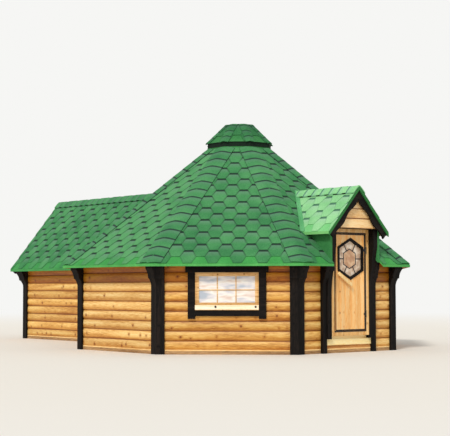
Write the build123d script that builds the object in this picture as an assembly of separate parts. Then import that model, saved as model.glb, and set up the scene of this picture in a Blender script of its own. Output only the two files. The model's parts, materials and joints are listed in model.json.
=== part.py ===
from build123d import *
from math import atan, cos, radians, sin, tan
import os

# Camping cabin: an octagonal log room with a pyramid roof, a door under a small
# gable on the front wall and a gabled extension on the back wall.
# Millimetres, +Z up, ground at Z 0, front towards -Y.

# Plan
wall_side = 1900.0            # one side of the octagon, over the corner posts
extension_width = 1740.0      # over its corner posts
extension_length = 2560.0     # from the octagon's back wall to the extension's end

# Log boards, half round outside and flat inside
log_pitch = 131.5             # height of one board
log_crown = 45.0              # thickness at the middle of a board
log_valley = 26.0             # thickness where two boards meet

# Base and floor
base_height = 44.0
base_width = 110.0
floor_thickness = 28.0
floor_gap = 5.0               # between the floor and the walls
timber_gap = 0.5              # between the ends of two base timbers

# Posts
post_width = 112.0            # on each wall beside a corner
post_thickness = 28.0         # in front of the log crowns
extension_post_width = 115.0
bracket_foot = 900.0          # height where the post starts to flare
bracket_step = 1015.0         # height of the small step in the flare
bracket_head = 1145.0         # height where the flare ends
bracket_reach = 95.0          # how far the flare stands out from the post
bracket_step_reach = 38.0     # how far it stands out below the small step
bracket_step_depth = 12.0

# Main roof
eave_height = 1172.0          # underside of the roof's edge
eave_overhang = 201.0         # beyond the front face of the posts
roof_pitch = 40.9             # degrees
roof_thickness = 24.0
hatch_radius = 440.0          # opening under the cap, to its corners
collar_radius = 505.0
collar_thickness = 60.0
collar_rise = 92.5            # above the roof at its outer face
cap_radius = 521.0
cap_top_radius = 208.0
cap_height = 298.0
cap_thickness = 30.0

# Extension roof
extension_pitch = 50.44       # degrees
extension_side_overhang = 142.0
extension_end_overhang = 195.0

# Door
leaf_width = 576.0
leaf_height = 1318.0
leaf_bottom = 302.0
leaf_thickness = 40.0
leaf_gap = 7.0                # all round the leaf
leaf_front = 35.0             # in front of the posts' face
frame_front = 30.0
jamb_width = 70.0
stop_width = 18.0
stop_clearance = 7.0
frame_rail = 63.0             # height of the frame's bottom and top rails
board_groove = 4.0
leaf_boards = 6
strip_width = 13.0
strip_proud = 3.0

# Door window, an upright hexagon
hexagon_half_width = 222.0
hexagon_half_height = 258.0
hexagon_shoulder = 146.0      # half the length of its upright sides
hexagon_drop = 340.0          # its middle below the top of the leaf
hexagon_frame_width = 34.0
hexagon_frame_proud = 10.0
hexagon_lip = 6.0
glass_thickness = 6.0
lead_width = 11.0
lead_thickness = 3.0
lead_scale = 0.52             # inner hexagon against the glass opening

# Door handle, a slanting wooden bar on two blocks
handle_length = 315.0
handle_width = 46.0
handle_thickness = 26.0
handle_stand = 24.0
handle_slant = -33.0          # degrees
handle_x = -140.0
handle_drop = 280.0           # its middle below the middle of the door window
handle_block = 36.0
handle_round = 16.0
handle_chamfer = 5.0

# Door hinges
hinge_radius = 7.0
hinge_height = 100.0
hinge_plate = 34.0
hinge_plate_thickness = 2.5
hinge_inset = 220.0           # from the leaf's ends to the hinge's middle
knuckle_gap = 0.5             # between the knuckles, along the pin
knuckle_room = 2.0            # between the fixed plate and the turning knuckle

# Door posts, sill and the gable over the door
door_post_width = 75.0
door_post_front = 20.0
gable_post_width = 75.0
gable_post_front = 36.0
gable_post_reach = 130.0
gable_post_step_reach = 39.0  # beyond its plain face, below its small step
gable_post_flare = 800.0      # height where it starts to swell
gable_post_step = 1110.0
gable_post_head = 1450.0
sill_height = 190.0
tread_thickness = 83.0
tread_proud = 23.0
riser_proud = 10.0
sill_end_gap = 3.0
cheek_thickness = 40.0
soffit_thickness = 15.0
pediment_thickness = 20.0
pediment_cover = 8.0          # how far it hangs in front of the soffit
pediment_board = 136.0
pediment_lap = 6.0            # each board's lower edge stands proud by this
dormer_half_width = 576.0     # to the edge of its eaves
dormer_rise = 581.0           # its ridge above the door frame
dormer_pitch = 47.6           # degrees
dormer_overhang = 220.0       # beyond the front face of the posts
verge_thickness = 20.0
verge_depth = 34.0
barge_thickness = 24.0
barge_depth = 122.0           # below the roof's upper face, at the middle of a wave
barge_wave = 13.0
barge_waves = 4
ridge_gap = 0.6               # between the two boards where they meet

# Windows
window_width = 852.0
window_foot = 590.0
window_head = 1092.0
casing_width = 24.0
casing_proud = 18.0
sash_width = 27.0
sash_depth = 30.0
sash_setback = 8.0
ledge_height = 57.0
ledge_depth = 22.0
trim_width = 98.0
trim_side_drop = 118.0        # side boards run down past the opening
trim_foot_height = 80.0
trim_head_extra = 33.0        # head board runs past the side boards

# Values worked out from the sizes above
half_turn = 180.0 / 8
post_apothem = wall_side / 2 / tan(radians(half_turn))
crown_apothem = post_apothem - post_thickness
inner_apothem = crown_apothem - log_crown
eave_apothem = post_apothem + eave_overhang
main_slope = tan(radians(roof_pitch))
main_drop = roof_thickness / cos(radians(roof_pitch))
main_apex = eave_height + main_drop + eave_apothem * main_slope
collar_apothem = collar_radius * cos(radians(half_turn))
collar_top = main_apex - main_slope * collar_apothem + collar_rise
cap_top = collar_top + cap_height

extension_half = extension_width / 2
extension_crown = extension_half - post_thickness
extension_inner = extension_crown - log_crown
extension_end = post_apothem + extension_length
extension_eave = extension_half + extension_side_overhang
extension_slope = tan(radians(extension_pitch))
extension_drop = roof_thickness / cos(radians(extension_pitch))
extension_ridge = eave_height + extension_drop + extension_eave * extension_slope
extension_roof_end = extension_end + extension_end_overhang

dormer_slope = tan(radians(dormer_pitch))
dormer_drop = roof_thickness / cos(radians(dormer_pitch))
dormer_front = post_apothem + dormer_overhang

frame_inner = leaf_width / 2 + leaf_gap
frame_outer = frame_inner + jamb_width
frame_bottom = leaf_bottom - leaf_gap - frame_rail
frame_top = leaf_bottom + leaf_height + leaf_gap + frame_rail
hexagon_height = leaf_bottom + leaf_height - hexagon_drop
handle_z = hexagon_height - handle_drop
pediment_foot = frame_top + soffit_thickness - pediment_cover
dormer_ridge = frame_top + dormer_rise
gable_post_outer = frame_outer + gable_post_width
door_post_outer = gable_post_outer + door_post_width
cheek_outer = gable_post_outer + cheek_thickness
hinge_x = leaf_width / 2 + leaf_gap / 2
hinge_y = -(post_apothem + leaf_front + hinge_radius)

bounds_front = -max(dormer_front, eave_apothem)
origin_y = (bounds_front + extension_roof_end) / 2
far = 2 * (extension_roof_end + wall_side)
tall = 2 * main_apex


def main_outer_at(distance):
    return main_apex - main_slope * distance


def box_between(low, high):
    size = [high[i] - low[i] for i in range(3)]
    middle = [(high[i] + low[i]) / 2 for i in range(3)]
    return Pos(*middle) * Box(*size)


def prism_along_x(points, x_low, x_high):
    """A (Y, Z) outline carried along X."""
    face = Plane.YZ * make_face(Polyline(*points, close=True))
    return Pos(x_low, 0, 0) * extrude(face, amount=x_high - x_low, dir=(1, 0, 0))


def prism_along_y(points, y_low, y_high):
    """An (X, Z) outline carried along Y."""
    wires = Polyline(*[(x, y_low, z) for x, z in points], close=True)
    return extrude(make_face(wires), amount=y_high - y_low, dir=(0, 1, 0))


def sector(gap=0.0):
    """Wedge of the front wall, from the axis out through its two corners."""
    start = -gap / 2 / sin(radians(half_turn))
    half = (far + start) * tan(radians(half_turn))
    outline = Polyline((0, start), (-half, -far), (half, -far), close=True)
    return extrude(make_face(outline), amount=tall)


def pyramid(drop):
    """Everything below the main roof's face, lowered by a vertical distance."""
    height = main_apex - drop
    tip = 1.0
    foot_radius = height / main_slope / cos(radians(half_turn))
    base = RegularPolygon(foot_radius, 8, rotation=half_turn)
    top_height = height - main_slope * tip * cos(radians(half_turn))
    top = Plane((0, 0, top_height)) * RegularPolygon(tip, 8, rotation=half_turn)
    return loft([base.face(), top.face()], ruled=True)


def gable_form(ridge, slope, half, drop, y_low, y_high):
    """Everything below a gable roof's face, down to the ground."""
    edge = ridge - drop - slope * half
    outline = [(-half, 0), (half, 0), (half, edge), (0, ridge - drop), (-half, edge)]
    return prism_along_y(outline, y_low, y_high)


def to_wall(shape, number):
    """Turns a piece made for the front wall to wall 0 to 7, clockwise from above."""
    return Rot(0, 0, -2 * half_turn * number) * shape


under_main = pyramid(main_drop)
roof_plan = RegularPolygon(eave_apothem / cos(radians(half_turn)), 8, rotation=half_turn)
main_form = pyramid(0) & extrude(roof_plan, amount=tall)
extension_under = gable_form(extension_ridge, extension_slope, extension_eave,
                             extension_drop, 0, far)
dormer_under = gable_form(dormer_ridge, dormer_slope, dormer_half_width,
                          dormer_drop, -far, 0)


def log_profile(front, top):
    """(Y, Z) face of a stack of log boards, their flat side at front + log_crown."""
    rows = int((top - base_height) // log_pitch)
    back = front + log_crown
    valley = back - log_valley
    edges = []
    for row in range(rows):
        foot = base_height + row * log_pitch
        crown = (front, foot + log_pitch / 2)
        edges += ThreePointArc((valley, foot), crown, (valley, foot + log_pitch)).edges()
    last = base_height + rows * log_pitch
    edges += Polyline((valley, last), (valley, tall), (back, tall),
                      (back, base_height), (valley, base_height)).edges()
    return make_face(edges)


def log_wall(front, top, x_low, x_high):
    face = Plane.YZ * log_profile(front, top)
    return Pos(x_low, 0, 0) * extrude(face, amount=x_high - x_low, dir=(1, 0, 0))


main_wall_top = main_outer_at(crown_apothem) - main_drop
extension_wall_top = extension_ridge - extension_drop - extension_slope * extension_crown


def octagon_wall():
    half = wall_side / 2
    blank = log_wall(-crown_apothem, main_wall_top, -half, half)
    return blank & sector() & under_main


def shaped_post(back, front, heights, step_out, step_depth, head_out):
    """(Y, Z) face of a post whose front swells in two coves with a step between.

    heights are those of its foot, the lower cove's start, the step, the upper
    cove's end and its top.
    """
    foot, flare, step, head, top = heights
    edges = Polyline((back, top), (back, foot), (front, foot), (front, flare)).edges()
    edges += TangentArc((front, flare), (step_out, step), tangent=(0, 1)).edges()
    edges += Line((step_out, step), (step_out - step_depth, step)).edges()
    edges += TangentArc((step_out - step_depth, step), (head_out, head), tangent=(0, 1)).edges()
    edges += Polyline((head_out, head), (head_out, top), (back, top)).edges()
    return make_face(edges)


def bracket_profile(back, front, reach):
    """Face of a post that swells under the eaves by a reach."""
    heights = (0, bracket_foot, bracket_step, bracket_head, tall)
    step_out = front - bracket_step_reach * reach / bracket_reach
    return shaped_post(back, front, heights, step_out, bracket_step_depth, front - reach)


def carry_along_x(profile, x_low, x_high):
    return Pos(x_low, 0, 0) * extrude(Plane.YZ * profile, amount=x_high - x_low, dir=(1, 0, 0))


def corner_post():
    """Two boards mitred at the corner between the front wall and the next one."""
    half = wall_side / 2
    profile = bracket_profile(-crown_apothem, -post_apothem, bracket_reach)
    board = carry_along_x(profile, -half - bracket_reach, -half + post_width) & sector()
    other = to_wall(mirror(board, Plane.YZ), 1)
    return (board + other) & under_main


def extension_post():
    """Two boards mitred at the extension's left far corner."""
    corner = Vector(-extension_half, extension_end)
    side = bracket_profile(-extension_crown, -extension_half, bracket_reach)
    reach = extension_end + bracket_reach
    board = carry_along_x(side, -reach, -extension_end + extension_post_width)
    board = Rot(0, 0, -90) * board
    end = bracket_profile(-(extension_end - post_thickness), -extension_end, bracket_reach)
    other = Rot(0, 0, 180) * carry_along_x(end, extension_half - extension_post_width,
                                           extension_half + bracket_reach)
    keep = extrude(make_face(Polyline((corner.X + far, corner.Y - far),
                                      (corner.X - far, corner.Y - far),
                                      (corner.X - far, corner.Y + far), close=True)), amount=tall)
    board = board & keep
    other = other - keep
    return (board + other) & extension_under


def base_timbers():
    bar = box_between((-wall_side, -crown_apothem, 0),
                      (wall_side, base_width - crown_apothem, base_height))
    bar = bar & sector(timber_gap)
    bars = [to_wall(bar, number) for number in range(8)]
    start = crown_apothem + timber_gap
    end = extension_end - post_thickness
    for side in (-1, 1):
        low, high = sorted((side * extension_crown, side * (extension_crown - base_width)))
        bars.append(box_between((low, start, 0), (high, end, base_height)))
    inner = extension_crown - base_width - timber_gap
    bars.append(box_between((-inner, end - base_width, 0), (inner, end, base_height)))
    return Compound(children=bars)


def main_floor():
    radius = (inner_apothem - floor_gap) / cos(radians(half_turn))
    plate = extrude(RegularPolygon(radius, 8, rotation=half_turn), amount=floor_thickness)
    return Pos(0, 0, base_height) * plate


def extension_floor():
    half = extension_inner - floor_gap
    return box_between((-half, inner_apothem, base_height),
                       (half, extension_end - post_thickness - log_crown - floor_gap,
                        base_height + floor_thickness))


def window_wall():
    opening = box_between((-window_width / 2, -post_apothem, window_foot),
                          (window_width / 2, 0, window_head))
    return octagon_wall() - opening


def door_wall(side):
    keep = box_between((frame_outer, -far, 0), (far, 0, tall))
    if side < 0:
        keep = mirror(keep, Plane.YZ)
    return octagon_wall() & keep


def extension_jambs():
    """The bits of the back wall that are left beside the extension's opening."""
    whole = box_between((-wall_side, -crown_apothem, base_height),
                        (wall_side, -inner_apothem, tall))
    whole = to_wall(whole & sector() & under_main, 4)
    gap = box_between((-extension_inner, 0, 0), (extension_inner, far, tall))
    return whole - gap


def extension_side_wall(side):
    wall = log_wall(-extension_crown, extension_wall_top, -extension_end, -crown_apothem)
    wall = Rot(0, 0, -90) * wall
    corner = (-extension_crown, extension_end - post_thickness)
    mitre = extrude(make_face(Polyline(corner, (corner[0] + far, corner[1] - far),
                                       (corner[0], corner[1] - far), close=True)), amount=tall)
    wall = wall & mitre & extension_under
    return wall if side < 0 else mirror(wall, Plane.YZ)


def extension_end_wall():
    end = extension_end - post_thickness
    wall = Rot(0, 0, 180) * log_wall(-end, extension_ridge - extension_drop, -extension_crown,
                                     extension_crown)
    half = extension_crown
    mitre = extrude(make_face(Polyline((-half, end), (half, end), (0, end - half), close=True)),
                    amount=tall)
    return wall & mitre & extension_under


def roof_panel():
    """One facet of the main roof, for the front wall, mitred at its hips."""
    top = hatch_radius * cos(radians(half_turn))
    outline = [(-eave_apothem, main_outer_at(eave_apothem) - main_drop),
               (-eave_apothem, main_outer_at(eave_apothem)),
               (-top, main_outer_at(top)),
               (-top, main_outer_at(top) - main_drop)]
    return prism_along_x(outline, -far, far) & sector()


def front_roof_panel():
    opening = dormer_under & box_between((-cheek_outer, -far, 0), (cheek_outer, 0, tall))
    return roof_panel() - opening


def back_roof_panel():
    return to_wall(roof_panel(), 4) - extension_under


def gable_panel(ridge, slope, half, drop, y_low, y_high, side):
    edge = ridge - slope * half
    outline = [(0, ridge), (side * half, edge), (side * half, edge - drop), (0, ridge - drop)]
    return prism_along_y(outline, y_low, y_high) - main_form


def extension_roof(side):
    return gable_panel(extension_ridge, extension_slope, extension_eave, extension_drop,
                       0, extension_roof_end, side)


def dormer_roof(side):
    return gable_panel(dormer_ridge, dormer_slope, dormer_half_width, dormer_drop,
                       -(dormer_front - verge_thickness), 0, side)


def verge(side):
    """Green strip that closes the edge of the small gable's roof."""
    drop = verge_depth / cos(radians(dormer_pitch))
    start = side * ridge_gap / 2
    half = side * dormer_half_width
    top = dormer_ridge - dormer_slope * dormer_half_width
    low = dormer_ridge - dormer_slope * ridge_gap / 2
    outline = [(start, low), (half, top), (half, top - drop), (start, low - drop)]
    return prism_along_y(outline, -dormer_front, -(dormer_front - verge_thickness))


def barge_board(ridge, pitch, half, y_low, y_high, side):
    """A board under the edge of a gable roof, its lower edge cut in waves."""
    length = half / cos(radians(pitch))
    start = barge_depth * tan(radians(pitch))
    step = (length - start) / barge_waves
    edges = Polyline((start, -barge_depth), (0, -barge_depth), (0, -roof_thickness),
                     (length, -roof_thickness), (length, -barge_depth)).edges()
    for wave in range(barge_waves):
        low = start + wave * step
        rise = barge_wave if wave % 2 else -barge_wave
        edges += ThreePointArc((low, -barge_depth), (low + step / 2, rise - barge_depth),
                               (low + step, -barge_depth)).edges()
    board = extrude(Plane.XZ * make_face(edges), amount=y_high - y_low, dir=(0, 1, 0))
    board = Pos(0, y_low, ridge) * Rot(0, pitch, 0) * board
    board = board & box_between((ridge_gap / 2, -far, 0), (half, far, tall))
    return board if side > 0 else mirror(board, Plane.YZ)


def dormer_barge(side):
    back = -(dormer_front - verge_thickness - barge_thickness)
    return barge_board(dormer_ridge, dormer_pitch, dormer_half_width,
                       back - barge_thickness, back, side)


def extension_barge(side):
    return barge_board(extension_ridge, extension_pitch, extension_eave,
                       extension_roof_end - barge_thickness, extension_roof_end, side)


def octagon_ring(outer, inner, low, high):
    ring = RegularPolygon(outer, 8, rotation=half_turn) - RegularPolygon(inner, 8, rotation=half_turn)
    return Pos(0, 0, low) * extrude(ring, amount=high - low)


def roof_collar():
    low = main_outer_at(collar_radius) - main_drop
    return octagon_ring(collar_radius, collar_radius - collar_thickness, low, collar_top) - main_form


def cap_form(low_radius, top_radius, low, high):
    """Octagonal frustum, a block with one sloping face cut on each of its sides."""
    share = cos(radians(half_turn))
    outline = [(-low_radius * share, low), (-top_radius * share, high),
               (low_radius, high), (low_radius, low)]
    block = prism_along_x(outline, -low_radius, low_radius)
    form = block
    for number in range(1, 8):
        form = form & to_wall(block, number)
    return form


def roof_cap():
    outer = cap_form(cap_radius, cap_top_radius, collar_top, cap_top)
    inner = cap_form(cap_radius - 2 * cap_thickness, cap_top_radius - cap_thickness,
                     collar_top, cap_top - cap_thickness)
    return outer - inner


def door_frame():
    front = -(post_apothem + frame_front)
    back = -inner_apothem
    whole = box_between((-frame_outer, front, frame_bottom), (frame_outer, back, frame_top))
    leaf_low = leaf_bottom - leaf_gap
    leaf_high = leaf_bottom + leaf_height + leaf_gap
    opening = box_between((-frame_inner, front, leaf_low), (frame_inner, back, leaf_high))
    stop_front = -(post_apothem + leaf_front) + leaf_thickness + stop_clearance
    stop = box_between((-frame_inner, stop_front, leaf_low), (frame_inner, back, leaf_high))
    way = box_between((stop_width - frame_inner, stop_front, leaf_low + stop_width),
                      (frame_inner - stop_width, back, leaf_high - stop_width))
    return whole - opening + (stop - way)


def weather_strip():
    """Dark strip round the leaf, on the face of the frame."""
    back = -(post_apothem + frame_front)
    outer = (frame_inner + strip_width, leaf_bottom - leaf_gap - strip_width,
             leaf_bottom + leaf_height + leaf_gap + strip_width)
    whole = box_between((-outer[0], back - strip_proud, outer[1]), (outer[0], back, outer[2]))
    hole = box_between((-frame_inner, -far, leaf_bottom - leaf_gap),
                       (frame_inner, 0, leaf_bottom + leaf_height + leaf_gap))
    plate_gap = hinge_height / 2 + strip_proud
    for height in hinge_heights():
        hole += box_between((0, -far, height - plate_gap), (far, 0, height + plate_gap))
    return whole - hole


def door_sill():
    """Threshold block in the wall with a tread in front of it."""
    block = box_between((-frame_outer, -crown_apothem, base_height),
                        (frame_outer, -inner_apothem, frame_bottom))
    half = gable_post_outer - sill_end_gap
    tread = box_between((-half, -(crown_apothem + tread_proud), sill_height - tread_thickness),
                        (half, -crown_apothem, sill_height))
    return block + tread


def door_riser():
    half = gable_post_outer - sill_end_gap
    return box_between((-half, -(crown_apothem + riser_proud), 0),
                       (half, -crown_apothem, sill_height - tread_thickness))


def door_post():
    profile = bracket_profile(-crown_apothem, -(post_apothem + door_post_front),
                              bracket_reach - door_post_front)
    return carry_along_x(profile, gable_post_outer, door_post_outer) & under_main


def gable_post():
    """Shaped board that carries the small gable, from the tread up to its roof."""
    front = -(post_apothem + gable_post_front)
    heights = (sill_height, gable_post_flare, gable_post_step, gable_post_head, dormer_ridge)
    profile = shaped_post(-crown_apothem, front, heights, front - gable_post_step_reach,
                          bracket_step_depth, -(post_apothem + gable_post_reach))
    return carry_along_x(profile, frame_outer, gable_post_outer) & dormer_under


def dormer_cheek():
    """Side of the small gable, standing on the front wall and the cut roof."""
    side = box_between((gable_post_outer, -(post_apothem + gable_post_reach), 0),
                       (cheek_outer, 0, tall))
    return (side & dormer_under) - under_main


def door_soffit():
    return box_between((-frame_outer, -(post_apothem + gable_post_reach), frame_top),
                       (frame_outer, -inner_apothem, frame_top + soffit_thickness))


def pediment():
    """Lapped boards in the small gable, each with its lower edge proud."""
    back = -(post_apothem + gable_post_reach)
    count = int((dormer_ridge - pediment_foot) // pediment_board) + 1
    thin = pediment_thickness - pediment_lap
    outline = [(back, pediment_foot)]
    for row in range(count):
        foot = pediment_foot + row * pediment_board
        outline.append((back - pediment_thickness, foot))
        outline.append((back - thin, foot + pediment_board))
    outline.append((back, pediment_foot + count * pediment_board))
    blank = prism_along_x(outline, -dormer_half_width, dormer_half_width)
    return blank & dormer_under


def hexagon(scale, grow=0.0):
    """Upright hexagon in (X, Z), grown on all sides by a distance."""
    slope = (hexagon_half_height - hexagon_shoulder) / hexagon_half_width
    turn = atan(slope)
    wide = hexagon_half_width * scale + grow
    high = hexagon_half_height * scale + grow / cos(turn)
    shoulder = high - slope * wide
    points = [(0, high), (wide, shoulder), (wide, -shoulder),
              (0, -high), (-wide, -shoulder), (-wide, shoulder)]
    return [(x, z + hexagon_height) for x, z in points]


def hexagon_block(scale, grow, y_low, y_high):
    return prism_along_y(hexagon(scale, grow), y_low, y_high)


def leaf_faces():
    front = -(post_apothem + leaf_front)
    return front, front + leaf_thickness


def door_leaf():
    front, back = leaf_faces()
    half = leaf_width / 2
    leaf = box_between((-half, front, leaf_bottom), (half, back, leaf_bottom + leaf_height))
    board = leaf_width / leaf_boards
    for number in range(1, leaf_boards):
        middle = number * board - half
        groove = [(middle - board_groove, front), (middle + board_groove, front),
                  (middle, front + board_groove)]
        cutter = extrude(make_face(Polyline(*groove, close=True)), amount=tall)
        leaf -= cutter
    return leaf - hexagon_block(1, 0, front, back)


def door_window_frame():
    front, back = leaf_faces()
    lip = hexagon_block(1, hexagon_frame_width - hexagon_lip, front - hexagon_frame_proud, front)
    sleeve = hexagon_block(1, 0, front, back)
    hole = hexagon_block(1, -hexagon_lip, front - hexagon_frame_proud, back)
    return lip + sleeve - hole


def door_glass():
    front, back = leaf_faces()
    middle = (front + back) / 2
    return hexagon_block(1, -hexagon_lip, middle - glass_thickness / 2, middle + glass_thickness / 2)


def door_lead():
    """Inner hexagon and six short bars on the face of the glass."""
    front, back = leaf_faces()
    face = (front + back) / 2 - glass_thickness / 2
    low, high = face - lead_thickness, face
    ring = hexagon_block(lead_scale, lead_width / 2, low, high)
    hole = hexagon_block(lead_scale, -lead_width / 2, low, high)
    inner = hexagon(lead_scale)
    outer = hexagon(1)
    level = [((side * hexagon_half_width * lead_scale, hexagon_height),
              (side * hexagon_half_width, hexagon_height)) for side in (-1, 1)]
    slanting = [(inner[corner], outer[corner]) for corner in (1, 2, 4, 5)]
    came = ring
    for start, end in level + slanting:
        came += lead_bar(Vector(*start), Vector(*end), low, high)
    within = hexagon_block(1, -hexagon_lip, low, high)
    return (came - hole) & within


def lead_bar(start, end, y_low, y_high):
    run = end - start
    across = Vector(-run.Y, run.X).normalized() * (lead_width / 2)
    corners = [start + across, end + across, end - across, start - across]
    return prism_along_y([(point.X, point.Y) for point in corners], y_low, y_high)


def door_handle():
    front = leaf_faces()[0]
    bar_back = front - handle_stand
    place = Pos(handle_x, 0, handle_z) * Rot(0, -handle_slant, 0)
    bar = Box(handle_length, handle_thickness, handle_width)
    bar = fillet(bar.edges().filter_by(Axis.Y), min(handle_round, handle_width / 3))
    bar = chamfer(bar.faces().sort_by(Axis.Y)[0].edges(), min(handle_chamfer, handle_thickness / 3))
    handle = Pos(0, bar_back - handle_thickness / 2, 0) * bar
    for side in (-1, 1):
        x = side * (handle_length / 2 - handle_block)
        handle += Pos(x, front - handle_stand / 2, 0) * Box(handle_block, handle_stand, handle_block)
    return place * handle


def hinge_heights():
    return (leaf_bottom + hinge_inset, leaf_bottom + leaf_height - hinge_inset)


def knuckle(low, high):
    return Pos(hinge_x, hinge_y, low) * extrude(Circle(hinge_radius), amount=high - low)


def hinge_half(outer):
    """Plates and knuckles on the frame, or else on the leaf."""
    pieces = []
    for height in hinge_heights():
        low = height - hinge_height / 2
        third = hinge_height / 3
        if outer:
            face = -(post_apothem + frame_front)
            plate = box_between((hinge_x + leaf_gap / 2, hinge_y, low),
                                (hinge_x + hinge_plate, face, low + hinge_height))
            room = box_between((hinge_x + hinge_radius, hinge_y - far, low),
                               (far, face - hinge_plate_thickness, low + hinge_height))
            middle = Pos(hinge_x, hinge_y, low + third) * extrude(
                Circle(hinge_radius + knuckle_room), amount=third)
            half = plate - room - middle
            half += knuckle(low, low + third - knuckle_gap)
            half += knuckle(low + 2 * third + knuckle_gap, low + hinge_height)
        else:
            face = -(post_apothem + leaf_front)
            plate = box_between((hinge_x - hinge_plate, face - hinge_plate_thickness,
                                 low + third), (hinge_x, face, low + 2 * third))
            half = plate + knuckle(low + third, low + 2 * third)
        pieces.append(half)
    return Compound(children=pieces)


def window_casing():
    front = -(crown_apothem + casing_proud)
    half = window_width / 2
    whole = box_between((-half, front, window_foot), (half, -inner_apothem, window_head))
    hole = box_between((casing_width - half, front, window_foot + casing_width),
                       (half - casing_width, 0, window_head - casing_width))
    ledge = box_between((-half, front - ledge_depth, window_foot),
                        (half, front, window_foot + ledge_height))
    return whole - hole + ledge


def sash_span():
    half = window_width / 2 - casing_width
    return half, window_foot + casing_width, window_head - casing_width


def window_sash():
    half, low, high = sash_span()
    front = -(crown_apothem + casing_proud) + sash_setback
    whole = box_between((-half, front, low), (half, front + sash_depth, high))
    hole = box_between((sash_width - half, front, low + sash_width),
                       (half - sash_width, front + sash_depth, high - sash_width))
    return whole - hole


def window_glass():
    half, low, high = sash_span()
    middle = -(crown_apothem + casing_proud) + sash_setback + sash_depth / 2
    return box_between((sash_width - half, middle - glass_thickness / 2, low + sash_width),
                       (half - sash_width, middle + glass_thickness / 2, high - sash_width))


def window_trim():
    """Dark boards round a window: head, two long sides and a foot between them."""
    back = -crown_apothem
    front = back - post_thickness
    half = window_width / 2
    side_out = half + trim_width
    boards = box_between((-side_out, front, window_foot - trim_side_drop),
                         (side_out, back, window_head + trim_width))
    boards += box_between((-side_out - trim_head_extra, front, window_head),
                          (side_out + trim_head_extra, back, window_head + trim_width))
    boards -= box_between((-half, front, window_foot), (half, back, window_head))
    below = window_foot - trim_foot_height
    boards -= box_between((-half, front, 0), (half, back, below))
    return boards


def both_windows(piece):
    return Compound(children=[to_wall(piece, 1), to_wall(piece, 7)])


def both_sides(piece):
    return Compound(children=[piece, mirror(piece, Plane.YZ)])


def all_corners():
    """The eight posts, the two at the back cut where the extension's walls meet them."""
    post = corner_post()
    room = box_between((-extension_crown, crown_apothem, 0), (extension_crown, far, tall))
    return Compound(children=[to_wall(post, number) - room for number in range(8)])


wall = octagon_wall()
glazed_wall = window_wall()
panel = roof_panel()

pieces = {
    "base_frame": base_timbers(),
    "main_floor": main_floor(),
    "extension_floor": extension_floor(),
    "door_wall_left": door_wall(-1),
    "door_wall_right": door_wall(1),
    "window_wall_left": to_wall(glazed_wall, 1),
    "side_wall_left": to_wall(wall, 2),
    "back_wall_left": to_wall(wall, 3),
    "back_wall_right": to_wall(wall, 5),
    "side_wall_right": to_wall(wall, 6),
    "window_wall_right": to_wall(glazed_wall, 7),
    "extension_jambs": extension_jambs(),
    "extension_wall_left": extension_side_wall(-1),
    "extension_wall_right": extension_side_wall(1),
    "extension_end_wall": extension_end_wall(),
    "corner_posts": all_corners(),
    "extension_posts": both_sides(extension_post()),
    "roof_panel_front": front_roof_panel(),
    "roof_panel_front_left": to_wall(panel, 1),
    "roof_panel_left": to_wall(panel, 2),
    "roof_panel_back_left": to_wall(panel, 3),
    "roof_panel_back": back_roof_panel(),
    "roof_panel_back_right": to_wall(panel, 5),
    "roof_panel_right": to_wall(panel, 6),
    "roof_panel_front_right": to_wall(panel, 7),
    "roof_collar": roof_collar(),
    "roof_cap": roof_cap(),
    "extension_roof_left": extension_roof(-1),
    "extension_roof_right": extension_roof(1),
    "extension_bargeboards": Compound(children=[extension_barge(-1), extension_barge(1)]),
    "dormer_roof_left": dormer_roof(-1),
    "dormer_roof_right": dormer_roof(1),
    "dormer_verges": Compound(children=[verge(-1), verge(1)]),
    "dormer_bargeboards": Compound(children=[dormer_barge(-1), dormer_barge(1)]),
    "dormer_cheeks": both_sides(dormer_cheek()),
    "dormer_pediment": pediment(),
    "door_soffit": door_soffit(),
    "gable_posts": both_sides(gable_post()),
    "door_posts": both_sides(door_post()),
    "door_frame": door_frame(),
    "door_weather_strip": weather_strip(),
    "door_sill": door_sill(),
    "door_riser": door_riser(),
    "door_leaf": door_leaf(),
    "door_window_frame": door_window_frame(),
    "door_glass": door_glass(),
    "door_window_lead": door_lead(),
    "door_handle": door_handle(),
    "door_hinge_plates": hinge_half(True),
    "door_hinge_straps": hinge_half(False),
    "window_casings": both_windows(window_casing()),
    "window_sashes": both_windows(window_sash()),
    "window_glass": both_windows(window_glass()),
    "window_trims": both_windows(window_trim()),
}

os.makedirs("parts", exist_ok=True)
for name, shape in pieces.items():
    solids = [Pos(0, -origin_y, 0) * solid for solid in shape.solids()]
    placed = solids[0] if len(solids) == 1 else Compound(children=solids)
    export_step(placed, "parts/" + name + ".step")
print("origin_y", round(origin_y, 3), "main apex", round(main_apex, 1),
      "extension ridge", round(extension_ridge, 1))
print("hinge", round(hinge_x, 3), round(hinge_y - origin_y, 3))
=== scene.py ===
import json
import math
from functools import partial
import bmesh
import bpy
import numpy as np
from mathutils import Matrix, Vector


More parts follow.
